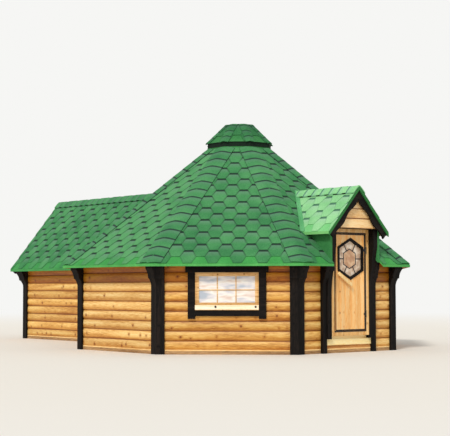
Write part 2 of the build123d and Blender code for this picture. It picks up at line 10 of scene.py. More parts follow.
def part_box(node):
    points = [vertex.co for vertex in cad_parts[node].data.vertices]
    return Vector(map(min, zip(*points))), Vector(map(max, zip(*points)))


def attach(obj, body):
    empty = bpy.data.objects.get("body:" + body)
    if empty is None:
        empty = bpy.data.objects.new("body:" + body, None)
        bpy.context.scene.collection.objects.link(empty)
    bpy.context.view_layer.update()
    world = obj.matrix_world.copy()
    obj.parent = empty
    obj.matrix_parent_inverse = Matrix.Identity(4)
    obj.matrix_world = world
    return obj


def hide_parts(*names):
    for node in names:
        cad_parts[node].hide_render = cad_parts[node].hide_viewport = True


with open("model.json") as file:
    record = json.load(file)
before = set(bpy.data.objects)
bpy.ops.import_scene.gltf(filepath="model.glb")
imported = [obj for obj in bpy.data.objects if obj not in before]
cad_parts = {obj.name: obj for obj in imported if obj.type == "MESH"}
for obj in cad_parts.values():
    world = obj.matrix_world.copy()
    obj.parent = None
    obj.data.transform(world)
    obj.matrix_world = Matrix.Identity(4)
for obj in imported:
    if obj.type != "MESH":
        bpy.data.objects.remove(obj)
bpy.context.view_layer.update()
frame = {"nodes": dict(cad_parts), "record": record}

print("frame loaded:", len(frame["nodes"]), "nodes")

# small helpers

def unit(values):
    # a direction: the vector over its own length
    values = np.asarray(values, float)
    return values / np.linalg.norm(values)


def hexColour(code):
    # sRGB hex to linear: c / 12.92 below 0.04045, else ((c + 0.055) / 1.055) ** 2.4
    parts = [int(code[i:i + 2], 16) / 255 for i in (1, 3, 5)]
    return [p / 12.92 if p <= 0.04045 else ((p + 0.055) / 1.055) ** 2.4 for p in parts] + [1.0]


def makeObject(points, faces, uv=None, tone=None, weld=False):
    # points (n, 3) in metres, faces (m, 4) indices, uv (n, 2) and tone (n,) per point; weld
    # merges points that coincide and turns the faces outwards
    mesh = bpy.data.meshes.new("piece")
    mesh.from_pydata(points.tolist(), [], faces.tolist())
    if uv is not None:
        layer = mesh.uv_layers.new(name="pieceUv")
        layer.data.foreach_set("uv", uv[faces.ravel()].astype(np.float32).ravel())
    if tone is not None:
        attribute = mesh.attributes.new("pieceTone", "FLOAT", "POINT")
        attribute.data.foreach_set("value", tone.astype(np.float32))
    if weld:
        work = bmesh.new()
        work.from_mesh(mesh)
        bmesh.ops.remove_doubles(work, verts=work.verts[:], dist=1e-5)
        bmesh.ops.recalc_face_normals(work, faces=work.faces[:])
        work.to_mesh(mesh)
        work.free()
    mesh.update()
    obj = bpy.data.objects.new("piece", mesh)
    bpy.context.scene.collection.objects.link(obj)
    return obj


def gridFaces(rows, columns, closeColumns=False):
    # quads of a rows x columns grid of points, the last column joined to the first if closed
    i, j = np.meshgrid(np.arange(rows - 1), np.arange(columns - (not closeColumns)), indexing="ij")
    right = (j + 1) % columns
    quads = [i * columns + j, i * columns + right, (i + 1) * columns + right, (i + 1) * columns + j]
    return np.stack(quads, -1).reshape(-1, 4)


def copiesOf(faces, count, pointsEach):
    # the same faces for each of count copies of one grid
    return (faces[None] + (np.arange(count) * pointsEach)[:, None, None]).reshape(-1, 4)


def cutMesh(obj, planes):
    # each plane is (point, normal), and what lies on the normal's side is taken away
    work = bmesh.new()
    work.from_mesh(obj.data)
    for point, normal in planes:
        whole = work.verts[:] + work.edges[:] + work.faces[:]
        bmesh.ops.bisect_plane(work, geom=whole, dist=1e-6, plane_co=Vector(point),
            plane_no=Vector(normal), clear_outer=True)
    work.to_mesh(obj.data)
    work.free()
    obj.data.update()


def dress(name, pieces, material, body="cabin"):
    # one mesh from the pieces, with its name, material, body and slot
    bpy.ops.object.select_all(action="DESELECT")
    for obj in pieces:
        obj.select_set(True)
    whole = pieces[0]
    bpy.context.view_layer.objects.active = whole
    if len(pieces) > 1:
        bpy.ops.object.join()
    whole.name = whole.data.name = name
    whole.data.materials.clear()
    whole.data.materials.append(material)
    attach(whole, body)
    return whole


def addNode(tree, kind, inputs=None, settings=None, stops=None):
    # Inputs are values, hex colours, sockets or nodes, and a node stands for its first output in
    # use. Settings are a dictionary, or the name of an operation alone, and stops are a colour
    # ramp's places and colours.
    node = tree.nodes.new("ShaderNode" + kind)
    if isinstance(settings, str):
        settings = {"operation": settings}
    for key, value in (settings or {}).items():
        setattr(node, key, value)
    for key, value in (inputs or {}).items():
        if isinstance(value, str):
            value = hexColour(value)
        if isinstance(value, bpy.types.Node):
            value = next(socket for socket in value.outputs if socket.enabled)
        if isinstance(value, bpy.types.NodeSocket):
            tree.links.new(value, node.inputs[key])
        else:
            node.inputs[key].default_value = value
    for number, (place, colour) in enumerate(stops or ()):
        elements = node.color_ramp.elements
        element = elements[number] if number < 2 else elements.new(place)
        element.position, element.color = place, hexColour(colour)
    return node


def newMaterial(name):
    # a material, and addNode for its own tree
    material = bpy.data.materials.new(name)
    material.use_nodes = True
    material.node_tree.nodes.clear()
    return material, partial(addNode, material.node_tree)


def closeMaterial(add, colour, settings, relief=None):
    # the end of a material: its colour, the shader's own settings, and a fine relief given as
    # height, distance in metres and strength
    inputs = {"Base Color": colour, **settings}
    if relief:
        inputs["Normal"] = add("Bump", dict(zip(["Height", "Distance", "Strength"], relief)))
    shader = add("BsdfPrincipled", inputs)
    add("OutputMaterial", {"Surface": shader})


def speckled(add, scale, *ramps):
    # fine noise of the given scale, and a colour from it for each ramp
    place = add("TexCoord")
    noise = add("TexNoise", {"Vector": place.outputs["Object"], "Scale": scale})
    return [noise] + [add("ValToRGB", {"Fac": noise}, stops=stops) for stops in ramps]


# settings that several materials give their nodes
blending = {"data_type": "RGBA"}
tinting = {"data_type": "RGBA", "blend_type": "MULTIPLY"}
smooth = {"interpolation_type": "SMOOTHSTEP"}


# wood

logLook = dict(
    boardMm=131.5,            # height of one half-round wall board
    footMm=44.0,              # underside of the lowest board
    grainMm=7.0,              # real growth rings are 1 to 3 mm, drawn coarser so that they show
    grainStretch=15.0,        # a streak is this many times longer than it is wide
    knotMm=12.5, knotless=0.42,      # share of knot cells that stay empty
    light="#FAE2A4", middle="#EAC27A", dark="#C08C46", halo="#B87E3C", knot="#845222",
    toneLow=0.86, toneHigh=1.06,          # darkest and lightest board
    shift=9.0,                # metres by which a board's grain is moved along, at most
    haloWide=0.3, haloShare=0.6,         # warm halo round a knot, in board widths
    bend=0.018,               # metres by which growth lines bend round a knot
    eaveShadeFrom=0.940, eaveShadeTo=0.985,        # painted shade under the eaves, fading in between these heights
    eaveShadeTint="#DABC62",
    # painted shade and highlight across each round board, from its foot at 0 to its top at 1
    paintedRoundShading=[(0.0, "#7E5630"), (0.05, "#AA7E4A"), (0.10, "#D6AC72"), (0.26, "#EACA96"),
                (0.46, "#F6E0B6"), (0.64, "#FBECCE"), (0.88, "#F4E2BE"), (0.95, "#DAB684"),
                (0.985, "#946A3E")])
deepLogLook = dict(logLook, light="#F4D896", middle="#E0B46A", dark="#B27E3A", eaveShadeTint="#E8C872")
gableLogLook = dict(logLook, eaveShadeTint="#FFFFFF")
paleLogLook = dict(logLook, light="#FFEDBE", middle="#F3D092", dark="#CE9E58", eaveShadeTint="#C6A43E")
palePine = dict(logLook, boardMm=90.0, knotMm=0.0, grainMm=6.0, toneLow=1.0, light="#FFF0BC",
    middle="#FFE6A4", dark="#F4D084", halo="#F4D084")
ledgePine = dict(palePine, light="#FFF8E4", middle="#FFEFCF", dark="#F6DDB2", halo="#F6DDB2")
battenPine = dict(palePine, light="#F6D596", middle="#ECC280", dark="#D6A660")
sashPine = dict(logLook, boardMm=60.0, knotMm=6.0, grainMm=6.0, light="#F4CF94", middle="#E6B878",
    dark="#C89452")
doorPine = dict(logLook, knotless=0.55, boardMm=96.0, knotMm=9.0, grainMm=6.0, light="#FFD79A",
    middle="#FFC478", dark="#F2A855", halo="#D98C40", knot="#8E5A28")
handlePine = dict(doorPine, boardMm=60.0, knotMm=0.0, light="#FFE2A8", middle="#FFD28A",
    dark="#F0B664")
framePine = dict(logLook, knotless=0.55, boardMm=120.0, knotMm=6.0, grainMm=6.0, light="#F6CE90",
    middle="#EBB66E", dark="#CC9048")
# the cladding's dark line is a painted shadow along each board's lap
claddingPine = dict(doorPine, boardMm=136.0, startMm=1697.0 - 12.0, lapShadowMm=12.0, lapShadow="#8A6038",
    light="#FFE6B4", middle="#FFD394", dark="#EAB26C")
darkStain = dict(logLook, boardMm=100.0, knotMm=8.0, grainMm=8.0, light="#241C18", middle="#120E0C",
    dark="#080605", halo="#0A0706", knot="#060404")
treatedBrown = dict(logLook, boardMm=110.0, knotMm=8.0, light="#C49C6E", middle="#A88258",
    dark="#86623E", halo="#705034", knot="#4A3420")
riserPine = dict(logLook, boardMm=110.0, knotMm=8.0, light="#DDA262", middle="#C58748",
    dark="#A2682F")
roofBoards = dict(logLook, boardMm=96.0, deckMm=70.0, knotMm=10.0, light="#DDB67C",
    middle="#C4985A", dark="#9B6F38")


def boardPlace(add, grainUp):
    # Metres along and across a board. Level, a point's place is its position times the wall's
    # own direction, which is up x outward normal; the slight tilt gives level faces one too.
    place = add("TexCoord")
    parts = add("SeparateXYZ", {0: place.outputs["Object"]})
    side = add("VectorMath", {0: (0.0, 0.002, 1.0), 1: place.outputs["Normal"]}, "CROSS_PRODUCT")
    flat = add("VectorMath", {0: side}, "NORMALIZE")
    level = add("VectorMath", {0: place.outputs["Object"], 1: flat}, "DOT_PRODUCT")
    facing = add("VectorMath", {0: flat, 1: (31.0, 17.0, 0.0)}, "DOT_PRODUCT")
    wall = add("Math", {0: facing}, "ROUND")
    up = parts.outputs["Z"]
    return (up, level, wall) if grainUp else (level, up, wall)


def woodGrain(add, along, across, board, look):
    # Each board is shifted along by its own random amount. Knots sit in some cells of a Voronoi
    # pattern one board wide, growth lines are noise stretched along the board, and a warm halo
    # bends them round each knot.
    chance = add("TexWhiteNoise", {"W": board}, {"noise_dimensions": "1D"})
    shifted = add("Math", {0: chance, 1: look["shift"], 2: along}, "MULTIPLY_ADD")
    flat = add("CombineXYZ", {0: shifted, 1: across})
    cell = add("TexVoronoi", {"Vector": flat, "Scale": 1000 / look["boardMm"], "Randomness": 0.9},
        {"voronoi_dimensions": "2D"})
    radius = add("MapRange", {"Value": cell.outputs["Color"], "From Min": look["knotless"],
        "From Max": 0.8, "To Min": -0.3, "To Max": look["knotMm"] / look["boardMm"]})
    edge = add("Math", {0: cell.outputs["Distance"], 1: radius}, "SUBTRACT")
    core = add("MapRange", {"Value": edge, "From Min": -0.04, "From Max": 0.07, "To Min": 1.0,
        "To Max": 0.0})
    halo = add("MapRange", {"Value": edge, "From Min": 0.0, "From Max": look["haloWide"],
        "To Min": 1.0, "To Max": 0.0}, smooth)
    bent = add("Math", {0: halo, 1: look["bend"], 2: across}, "MULTIPLY_ADD")
    slow = add("Math", {0: shifted, 1: look["grainStretch"]}, "DIVIDE")
    lines = add("CombineXYZ", {0: slow, 1: bent})
    rings = add("TexNoise", {"Vector": lines, "Scale": 1000 / look["grainMm"], "Detail": 4.0,
        "Roughness": 0.6})
    broad = add("TexNoise", {"Vector": lines, "Scale": 100 / look["grainMm"], "Detail": 2.0})
    half = add("Math", {0: broad, 1: 0.45}, "MULTIPLY")
    tone = add("Math", {0: rings, 1: 0.55, 2: half}, "MULTIPLY_ADD")
    wood = add("ValToRGB", {"Fac": tone}, stops=[(0.4, look["dark"]), (0.5, look["middle"]),
        (0.6, look["light"])])
    boardTone = add("MapRange", {"Value": chance, "To Min": look["toneLow"],
        "To Max": look["toneHigh"]})
    wood = add("Mix", {0: 1.0, 6: wood, 7: boardTone}, tinting)
    share = add("Math", {0: halo, 1: look["haloShare"]}, "MULTIPLY")
    wood = add("Mix", {0: share, 6: wood, 7: look["halo"]}, blending)
    if look["knotMm"]:
        wood = add("Mix", {0: core, 6: wood, 7: look["knot"]}, blending)
    return wood, rings


def spruceLogs(name, look):
    # half-round spruce boards, planed and stained honey: satin, with small brown knots. Painted
    # shade
    # and highlight across each round: cream where it looks up, orange brown below it, dark where
    # the boards meet; painted shade under the eaves darkens the top rows
    material, add = newMaterial(name)
    along, up, wall = boardPlace(add, False)
    rows = add("Math", {0: up, 1: 1000 / look["boardMm"], 2: -look["footMm"] / look["boardMm"]},
        "MULTIPLY_ADD")
    row = add("Math", {0: rows}, "FLOOR")
    board = add("Math", {0: row, 1: wall}, "ADD")
    wood, rings = woodGrain(add, along, up, board, look)
    inBoard = add("Math", {0: rows}, "FRACT")
    # painted shade and highlight across each round
    shade = add("ValToRGB", {"Fac": inBoard}, stops=look["paintedRoundShading"])
    colour = add("Mix", {0: 1.0, 6: wood, 7: shade}, tinting)
    # painted shade under the eaves: the top rows of the wall are tinted darker
    eaveShade = add("MapRange", {"Value": up, "From Min": look["eaveShadeFrom"],
        "From Max": look["eaveShadeTo"]}, smooth)
    colour = add("Mix", {0: eaveShade, 6: colour, 7: look["eaveShadeTint"]}, tinting)
    closeMaterial(add, colour, {"Roughness": 0.5, "IOR": 1.5, "Specular IOR Level": 0.35},
        (rings, 0.0015, 0.5))
    return material


def planedWood(name, grainUp, look, roughness=0.45, specular=0.4):
    # planed boards, stained: satin, straight grain, each board with its own tone
    material, add = newMaterial(name)
    along, across = boardPlace(add, grainUp)[:2]
    rows = add("Math", {0: across, 1: 1000 / look["boardMm"],
        2: -look.get("startMm", 0) / look["boardMm"]}, "MULTIPLY_ADD")
    board = add("Math", {0: rows}, "FLOOR")
    wood, rings = woodGrain(add, along, across, board, look)
    # painted shadow along each board's lap
    if "lapShadowMm" in look:
        inBoard = add("Math", {0: rows}, "FRACT")
        share = look["lapShadowMm"] / look["boardMm"]
        lapShadow = add("ValToRGB", {"Fac": inBoard}, stops=[(0.0, look["lapShadow"]), (share * 2, "#FFFFFF"),
            (share * 0.6, look["lapShadow"])])
        wood = add("Mix", {0: 1.0, 6: wood, 7: lapShadow}, tinting)
    closeMaterial(add, wood, {"Roughness": roughness, "IOR": 1.5, "Specular IOR Level": specular},
        (rings, 0.0008, 0.4))
    return material


# bitumen shingles and felt

shingleLook = dict(
    granuleMm=9.0,            # real granules are 1 to 2 mm, drawn coarser so that they show
    patchMm=320.0,
    deep="#2D6C40", green="#3E834D", pale="#56985F", dull="#62846F", band="#1C2D27",
    dullShare=0.6, dullFrom=0.5, bandLow=0.885, bandHigh=1.2, bandShare=0.92,
    # painted shadow lines under the slanting edges of the next course
    edgeShadowFrom=0.5, edgeShadowWide=0.1, edgeShadowShare=0.85, edgeShadowFoot=0.3, rimShare=0.85,
    soft=0.02,                # share of a piece over which a dark band begins and ends
    plain=0.09)               # tone of felt that shows no single pieces
# the small gable's shingles are drawn paler than the main roof's: painted sunlight
paintedSunGableLook = dict(shingleLook, deep="#76B87A", green="#8CC98C", pale="#A6DAA2", dull="#9CC0A2",
    band="#44705A", edgeShadowShare=0.6, rimShare=0.7)
hipLook = dict(shingleLook, deep="#2E6E42", green="#40844F", pale="#5A9A62", dull="#5C7C6C",
    band="#23302F", dullShare=0.5, dullFrom=0.3, bandLow=0.64, bandHigh=0.765, bandShare=0.9,
    edgeShadowFrom=0.0, edgeShadowWide=0.06, edgeShadowShare=0.15)
ridgeLook = dict(hipLook, rimShare=0.2, edgeShadowShare=0.0, bandShare=0.6)
capLook = dict(shingleLook, deep="#215A33", green="#2E6E3E", pale="#41824C", dull="#486858",
    band="#1A4029", rimShare=0.6)
capHipLook = dict(hipLook, deep="#245E36", green="#327342", pale="#458551", dull="#486858",
    band="#1C422C", rimShare=0.4)
# the small gable's ridge pieces are drawn paler: painted sunlight
paintedSunGableHipLook = dict(hipLook, deep="#6FB774", green="#8BCB8B", pale="#ABDFA6", dull="#8FBBA0",
    band="#52786E", rimShare=0.3)


def mineralFelt(add, look, share):
    # granules: 0.5 x fine speckle + 0.32 x broad patches + share, a number or a node
    place = add("TexCoord")
    fine = add("TexNoise", {"Vector": place.outputs["Object"], "Scale": 1000 / look["granuleMm"],
        "Detail": 2.0, "Roughness": 0.7})
    broad = add("TexNoise", {"Vector": place.outputs["Object"], "Scale": 1000 / look["patchMm"],
        "Detail": 3.0})
    broad = add("Math", {0: broad, 1: 0.32, 2: share}, "MULTIPLY_ADD")
    mixed = add("Math", {0: fine, 1: 0.5, 2: broad}, "MULTIPLY_ADD")
    colour = add("ValToRGB", {"Fac": mixed}, stops=[(0.38, look["deep"]), (0.5, look["green"]),
        (0.63, look["pale"])])
    return colour, fine


def shingleFelt(name, look):
    # bitumen shingles faced with green mineral granules: matt and gritty, duller towards the
    # piece above, and black bitumen where its sheet is cut. Under the piece above lies a dark band,
    # printed darker granules with the painted shadow of its edge, and painted shadow lines run
    # under the slanting edges of the next course
    material, add = newMaterial(name)
    uv = add("UVMap", None, {"uv_map": "pieceUv"})
    parts = add("SeparateXYZ", {0: uv})
    tone = add("Attribute", None, {"attribute_name": "pieceTone"})
    share = add("Math", {0: tone.outputs["Fac"], 1: 0.08, 2: 0.05}, {"operation": "MULTIPLY_ADD",
        "use_clamp": True})
    colour, fine = mineralFelt(add, look, share)
    up = add("Math", {0: fine, 1: 0.05, 2: parts.outputs["Y"]}, "MULTIPLY_ADD")
    dull = add("MapRange", {"Value": up, "From Min": look["dullFrom"], "From Max": look["bandLow"],
        "To Max": look["dullShare"]})
    # painted shadow lines along the upper sides, under the slanting edges of the next course
    wide = look["edgeShadowWide"]
    sides = add("ValToRGB", {"Fac": parts.outputs["X"]}, stops=[(0.0, "#FFFFFF"), (1.0, "#FFFFFF"),
        (wide, "#000000"), (1 - wide, "#000000")])
    upper = add("MapRange", {"Value": parts.outputs["Y"], "From Min": look["edgeShadowFrom"],
        "From Max": look["bandLow"], "To Min": look["edgeShadowShare"] * look["edgeShadowFoot"],
        "To Max": look["edgeShadowShare"]})
    edge = add("Math", {0: sides, 1: upper}, "MULTIPLY")
    # dark band under the piece above: printed darker granules and the painted shadow of its edge
    start = add("MapRange", {"Value": up, "From Min": look["bandLow"], "From Max": look["bandLow"]
        + look["soft"], "To Max": look["bandShare"]})
    end = add("MapRange", {"Value": up, "From Min": look["bandHigh"], "From Max": look["bandHigh"]
        + look["soft"], "To Min": 1.0, "To Max": 0.0})
    band = add("Math", {0: start, 1: end}, "MULTIPLY")
    rim = add("MapRange", {"Value": tone.outputs["Fac"], "From Min": -0.7, "From Max": -0.1,
        "To Min": look["rimShare"], "To Max": 0.0})
    for share, over in ((dull, "dull"), (edge, "band"), (band, "band"), (rim, "band")):
        colour = add("Mix", {0: share, 6: colour, 7: look[over]}, blending)
    closeMaterial(add, colour, {"Roughness": 0.9, "IOR": 1.48, "Specular IOR Level": 0.25},
        (fine, 0.002, 0.7))
    return material


def plainFelt(name, deep, green, pale):
    # the same mineral-faced felt where it shows plain: starter strips, valleys, edges
    material, add = newMaterial(name)
    colour, fine = mineralFelt(add, dict(shingleLook, deep=deep, green=green, pale=pale),
        shingleLook["plain"])
    closeMaterial(add, colour, {"Roughness": 0.88, "IOR": 1.48, "Specular IOR Level": 0.25},
        (fine, 0.002, 0.6))
    return material


def roofDeck(name, deep, green, pale):
    # roof boards as seen from below, their upper side and edges wrapped in bright green felt
    material, add = newMaterial(name)
    along, across = boardPlace(add, False)[:2]
    rows = add("Math", {0: across, 1: roofBoards["deckMm"] / 1000}, "DIVIDE")
    board = add("Math", {0: rows}, "FLOOR")
    wood = woodGrain(add, along, across, board, roofBoards)[0]
    felt, fine = mineralFelt(add, dict(shingleLook, deep=deep, green=green, pale=pale),
        shingleLook["plain"])
    place = add("TexCoord")
    facing = add("SeparateXYZ", {0: place.outputs["Normal"]})
    below = add("MapRange", {"Value": facing.outputs["Z"], "From Min": -0.4, "From Max": -0.2,
        "To Min": 1.0, "To Max": 0.0})
    colour = add("Mix", {0: below, 6: felt, 7: wood}, blending)
    closeMaterial(add, colour, {"Roughness": 0.85, "Specular IOR Level": 0.25}, (fine, 0.0015, 0.5))
    return material


# glass, metal and rubber

windowLook = dict(patchMm=105.0, stretch=3.2, clear=0.95,
    stops=[(0.36, "#B9C2CF"), (0.46, "#E9E4E6"), (0.54, "#FFFAF2"), (0.66, "#EAD2C4")])
doorGlassLook = dict(patchMm=70.0, clear=0.92, middle=(0.0, 1.280), half=(0.215, 0.240), inner=0.55,
    soft=0.02, innerStops=[(0.36, "#BC8A62"), (0.5, "#D0A076"), (0.64, "#E2BA90")],
    outerReflectionStops=[(0.36, "#BE9A7E"), (0.5, "#DCC0A2"), (0.64, "#F2DFCA")])


def floatGlass(name, look):
    # float glass in front of a pale room: glossy, its colour a painted reflection in broad level
    # streaks
    material, add = newMaterial(name)
    along, across = boardPlace(add, False)[:2]
    slow = add("Math", {0: along, 1: look["stretch"]}, "DIVIDE")
    flat = add("CombineXYZ", {0: slow, 1: across})
    paintedReflection = add("TexNoise", {"Vector": flat, "Scale": 1000 / look["patchMm"], "Detail": 2.0})
    colour = add("ValToRGB", {"Fac": paintedReflection}, stops=look["stops"])
    closeMaterial(add, colour, {"Roughness": 0.06, "IOR": 1.52, "Alpha": look["clear"],
        "Coat Weight": 0.6, "Coat Roughness": 0.02})
    return material


def leadedGlass(name, look):
    # leaded door glass: a bronze pane inside clear ones, told apart by the distance from the
    # middle, sqrt((x / half width)^2 + (z / half height)^2)
    material, add = newMaterial(name)
    place = add("TexCoord")
    (x, z), (wide, high) = look["middle"], look["half"]
    away = add("VectorMath", {0: place.outputs["Object"], 1: (x, 0.0, z)}, "SUBTRACT")
    away = add("VectorMath", {0: away, 1: (1 / wide, 0.0, 1 / high)}, "MULTIPLY")
    distance = add("VectorMath", {0: away}, "LENGTH")
    # the clear panes' pale mottled colour is painted reflection
    ramps = look["innerStops"], look["outerReflectionStops"]
    inner, outer = speckled(add, 1000 / look["patchMm"], *ramps)[1:]
    share = add("MapRange", {"Value": distance, "From Min": look["inner"], "From Max": look["inner"]
        + look["soft"]})
    colour = add("Mix", {0: share, 6: inner, 7: outer}, blending)
    closeMaterial(add, colour, {"Roughness": 0.08, "IOR": 1.52, "Alpha": look["clear"],
        "Coat Weight": 0.5, "Coat Roughness": 0.03})
    return material


def blackSteel():
    # powder-coated steel: near black, satin, slight orange peel
    material, add = newMaterial("black powder-coated steel")
    peel, colour = speckled(add, 700.0, [(0.3, "#141416"), (0.7, "#232327")])
    closeMaterial(add, colour, {"Roughness": 0.42}, (peel, 0.0003, 0.4))
    return material


def hingePlateSteel():
    # zinc-plated and yellow-passivated steel: a soft brassy shine that sits quietly on pine,
    # with the knuckles beside the leaf painted black
    material, add = newMaterial("yellow-passivated zinc-plated steel, knuckles painted black")
    brass, paint = speckled(add, 160.0, [(0.35, "#B8945C"), (0.65, "#D9B983")],
        [(0.35, "#141416"), (0.65, "#232327")])[1:]
    place = add("TexCoord")
    parts = add("SeparateXYZ", {0: place.outputs["Object"]})
    blend = 0.001             # metres from the straps to the paint's edge, and over which it fades
    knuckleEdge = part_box("door_hinge_straps")[1].x + blend
    share = add("MapRange", {"Value": parts.outputs["X"], "From Min": knuckleEdge,
        "From Max": knuckleEdge + blend})
    colour = add("Mix", {0: share, 6: paint, 7: brass}, blending)
    closeMaterial(add, colour, {"Metallic": share, "Roughness": 0.4})
    return material


def sealRubber():
    # extruded sealing strip: black, matt, with a faint bloom
    material, add = newMaterial("black extruded rubber")
    colour = speckled(add, 40.0, [(0.3, "#100E0E"), (0.7, "#211D1C")])[1]
    closeMaterial(add, colour, {"Roughness": 0.75})
    return material


logPine = spruceLogs("honey-stained half-round spruce", logLook)
deepLogPine = spruceLogs("deep honey-stained half-round spruce", deepLogLook)
paleLogPine = spruceLogs("pale honey-stained half-round spruce", paleLogLook)
gableLogPine = spruceLogs("honey-stained half-round spruce, gable end", gableLogLook)
paleWood = planedWood("pale planed pine", False, palePine)
ledgeWood = planedWood("pale planed pine ledge", False, ledgePine)
battenWood = planedWood("sawn pine batten", False, battenPine, 0.6, 0.3)
frameWood = planedWood("stained pine door frame", True, framePine)
sashWood = planedWood("stained pine sash", False, sashPine)
casingWood = planedWood("stained pine casing", False, dict(sashPine, light="#EEC488",
    middle="#DDAA68", dark="#BC8444"))
handleWood = planedWood("pale turned pine handle", True, handlePine, 0.35)
doorWood = planedWood("honey-stained pine door boards", True, doorPine)
pedimentWood = planedWood("honey-stained pine cladding", False, claddingPine)
darkPosts = planedWood("near-black stained spruce posts", True, darkStain, 0.65, 0.12)
darkBoards = planedWood("near-black stained spruce boards", False, darkStain, 0.65, 0.12)
baseWood = planedWood("brown pressure-treated pine", False, treatedBrown, 0.75, 0.3)
riserWood = planedWood("sawn pine riser", False, riserPine, 0.7, 0.3)
floorWood = planedWood("spruce floor boards", True, roofBoards, 0.6)
deckFelt = roofDeck("roof boards under green felt", "#3E8A46", "#4FA653", "#66BC64")
extensionDeck = roofDeck("roof boards under mid green felt", "#357C40", "#43924E", "#57A55F")
# the small gable's paler deck felt is painted sunlight
paintedSunGableDeck = roofDeck("roof boards under painted-sunlight pale green felt", "#62AE5E", "#78C070", "#90D084")
tabFelt = shingleFelt("green bitumen shingles", shingleLook)
# the small gable's paler shingles are painted sunlight
paintedSunGableFelt = shingleFelt("green bitumen shingles, small gable", paintedSunGableLook)
hipFelt = shingleFelt("green bitumen hip pieces", hipLook)
ridgeFelt = shingleFelt("green bitumen ridge pieces", ridgeLook)
capFelt = shingleFelt("deep green bitumen shingles", capLook)
capHipFelt = shingleFelt("deep green bitumen hip pieces", capHipLook)
# the small gable's paler ridge pieces are painted sunlight
paintedSunGableHipFelt = shingleFelt("green bitumen ridge pieces, small gable", paintedSunGableHipLook)
starterFelt = plainFelt("bright green starter felt", "#2F7E3B", "#3C9347", "#51A758")
extensionStarter = plainFelt("mid green starter felt", "#2E7A3C", "#3B8C48", "#4E9F58")
# the small gable's paler starter felt is painted sunlight
paintedSunGableStarter = plainFelt("painted-sunlight pale green starter felt", "#5FB166", "#76C27A", "#90D290")
valleyFelt = plainFelt("green valley felt", "#4F9A60", "#62AC72", "#7CC088")
roofFelt = plainFelt("green roof felt", "#26643A", "#34783F", "#488A50")
sideFelt = plainFelt("green felt cladding", "#2C6E3A", "#3A8046", "#4B9254")
# near-black felt on the collar: painted shade under the cap
collarShadeFelt = plainFelt("painted-shade black-green roofing felt", "#0A150D", "#0E1D13", "#15291B")
vergeFelt = plainFelt("deep green felt edging", "#26632F", "#2F7339", "#3D8747")
windowPane = floatGlass("float glass over a pale room", windowLook)
doorPane = leadedGlass("leaded bronze and clear glass", doorGlassLook)
steel = blackSteel()
hingePlate = hingePlateSteel()
rubber = sealRubber()

nodeMaterials = {"pine_logs": logPine, "pale_pine": paleWood, "door_pine": doorWood,
    "dark_timber": darkPosts, "treated_base": baseWood, "floor_boards": floorWood,
    "green_roof": deckFelt, "window_glass": windowPane, "dark_metal": steel, "rubber_strip": rubber}
ownMaterials = {"door_glass": doorPane, "window_sashes": sashWood, "window_casings": casingWood,
    "door_riser": riserWood, "door_hinge_plates": hingePlate, "door_frame": frameWood,
    "dormer_pediment": pedimentWood, "window_trims": darkBoards, "dormer_bargeboards": darkBoards,
    "extension_bargeboards": darkBoards, "roof_collar": collarShadeFelt, "dormer_verges": vergeFelt,
    "dormer_cheeks": sideFelt, "roof_cap": roofFelt, "dormer_roof_left": paintedSunGableDeck,
    "dormer_roof_right": paintedSunGableDeck, "extension_roof_left": extensionDeck,
    "extension_roof_right": extensionDeck, "door_handle": handleWood, "door_soffit": darkBoards,
    "window_wall_left": deepLogPine, "window_wall_right": deepLogPine,
    "side_wall_left": paleLogPine, "side_wall_right": paleLogPine, "door_wall_right": paleLogPine,
    "extension_end_wall": gableLogPine}
for part in frame["record"]["subparts"]:
    node = frame["nodes"][part["node"]]
    node.data.materials.clear()
    node.data.materials.append(ownMaterials.get(part["node"], nodeMaterials[part["material_slot"]]))
print("materials on", len(frame["nodes"]), "nodes")


# roof surfaces, as flat facets with an origin on the eave

roof = dict(
    mainPitch=40.9, extensionPitch=50.44, dormerPitch=47.6, deck=0.024,
    tabPitch=0.3333,          # width of one tab
    tabFlat=0.112,            # lower edge of a tab
    tabOffset=-0.010,         # a tab's side lies this far from the middle of a facet
    exposure=0.1349,          # from one course to the next
    lift=0.007,               # a tab's lower edge stands this far over its upper end
    bed=0.0015, start=0.008,
    uneven=0.0012,            # tabs lie this much higher or lower, at random
    curl=0.0016,              # and their corners lift by up to this
    cheek=0.480,              # outer face of the small gable's sides
    paintedSunlight=1.2,               # painted sunlight: paler felt on the two side slopes
    boxMargin=0.0006,         # pieces keep this far inside the cabin's outermost edges
    endMargin=0.001,          # and this far inside the gables' ends
    underCollar=0.025,        # facets run on under the collar, hip pieces a little less
    hipUnderCollar=0.020,
    spareEnd=0.2)             # a gable's tabs start this far past its ends and are cut back

middleY = (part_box("roof_cap")[0].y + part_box("roof_cap")[1].y) / 2
eave = -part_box("roof_panel_left")[0].x
eighth = math.tan(math.radians(22.5))
hipCosine = math.cos(math.radians(22.5))
mainTilt = math.radians(roof["mainPitch"])
mainSlope = math.tan(mainTilt)
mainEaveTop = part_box("roof_panel_left")[0].z + roof["deck"] / math.cos(mainTilt)
mainApex = mainEaveTop + eave * mainSlope
collarApothem = -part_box("roof_collar")[0].x
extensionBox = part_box("extension_roof_left")
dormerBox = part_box("dormer_roof_left")
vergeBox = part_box("dormer_verges")


def localPlane(point, normal):
    # a plane given about the octagon's middle
    return (point[0], point[1] + middleY, point[2]), normal


def makeFacet(origin, across, pitch, length, halfFoot, planes, shift=0.0):
    # across runs to the right as seen from outside; up the slope is square to it
    across = unit(across)
    outward = np.cross(across, (0, 0, 1.0))
    angle = math.radians(pitch)
    upSlope = -outward * math.cos(angle) + np.array([0, 0, math.sin(angle)])
    normal = outward * math.sin(angle) + np.array([0, 0, math.cos(angle)])
    return dict(origin=np.array(origin, float), across=across, up=upSlope, normal=normal,
        length=length, halfFoot=halfFoot, planes=planes, shift=shift)


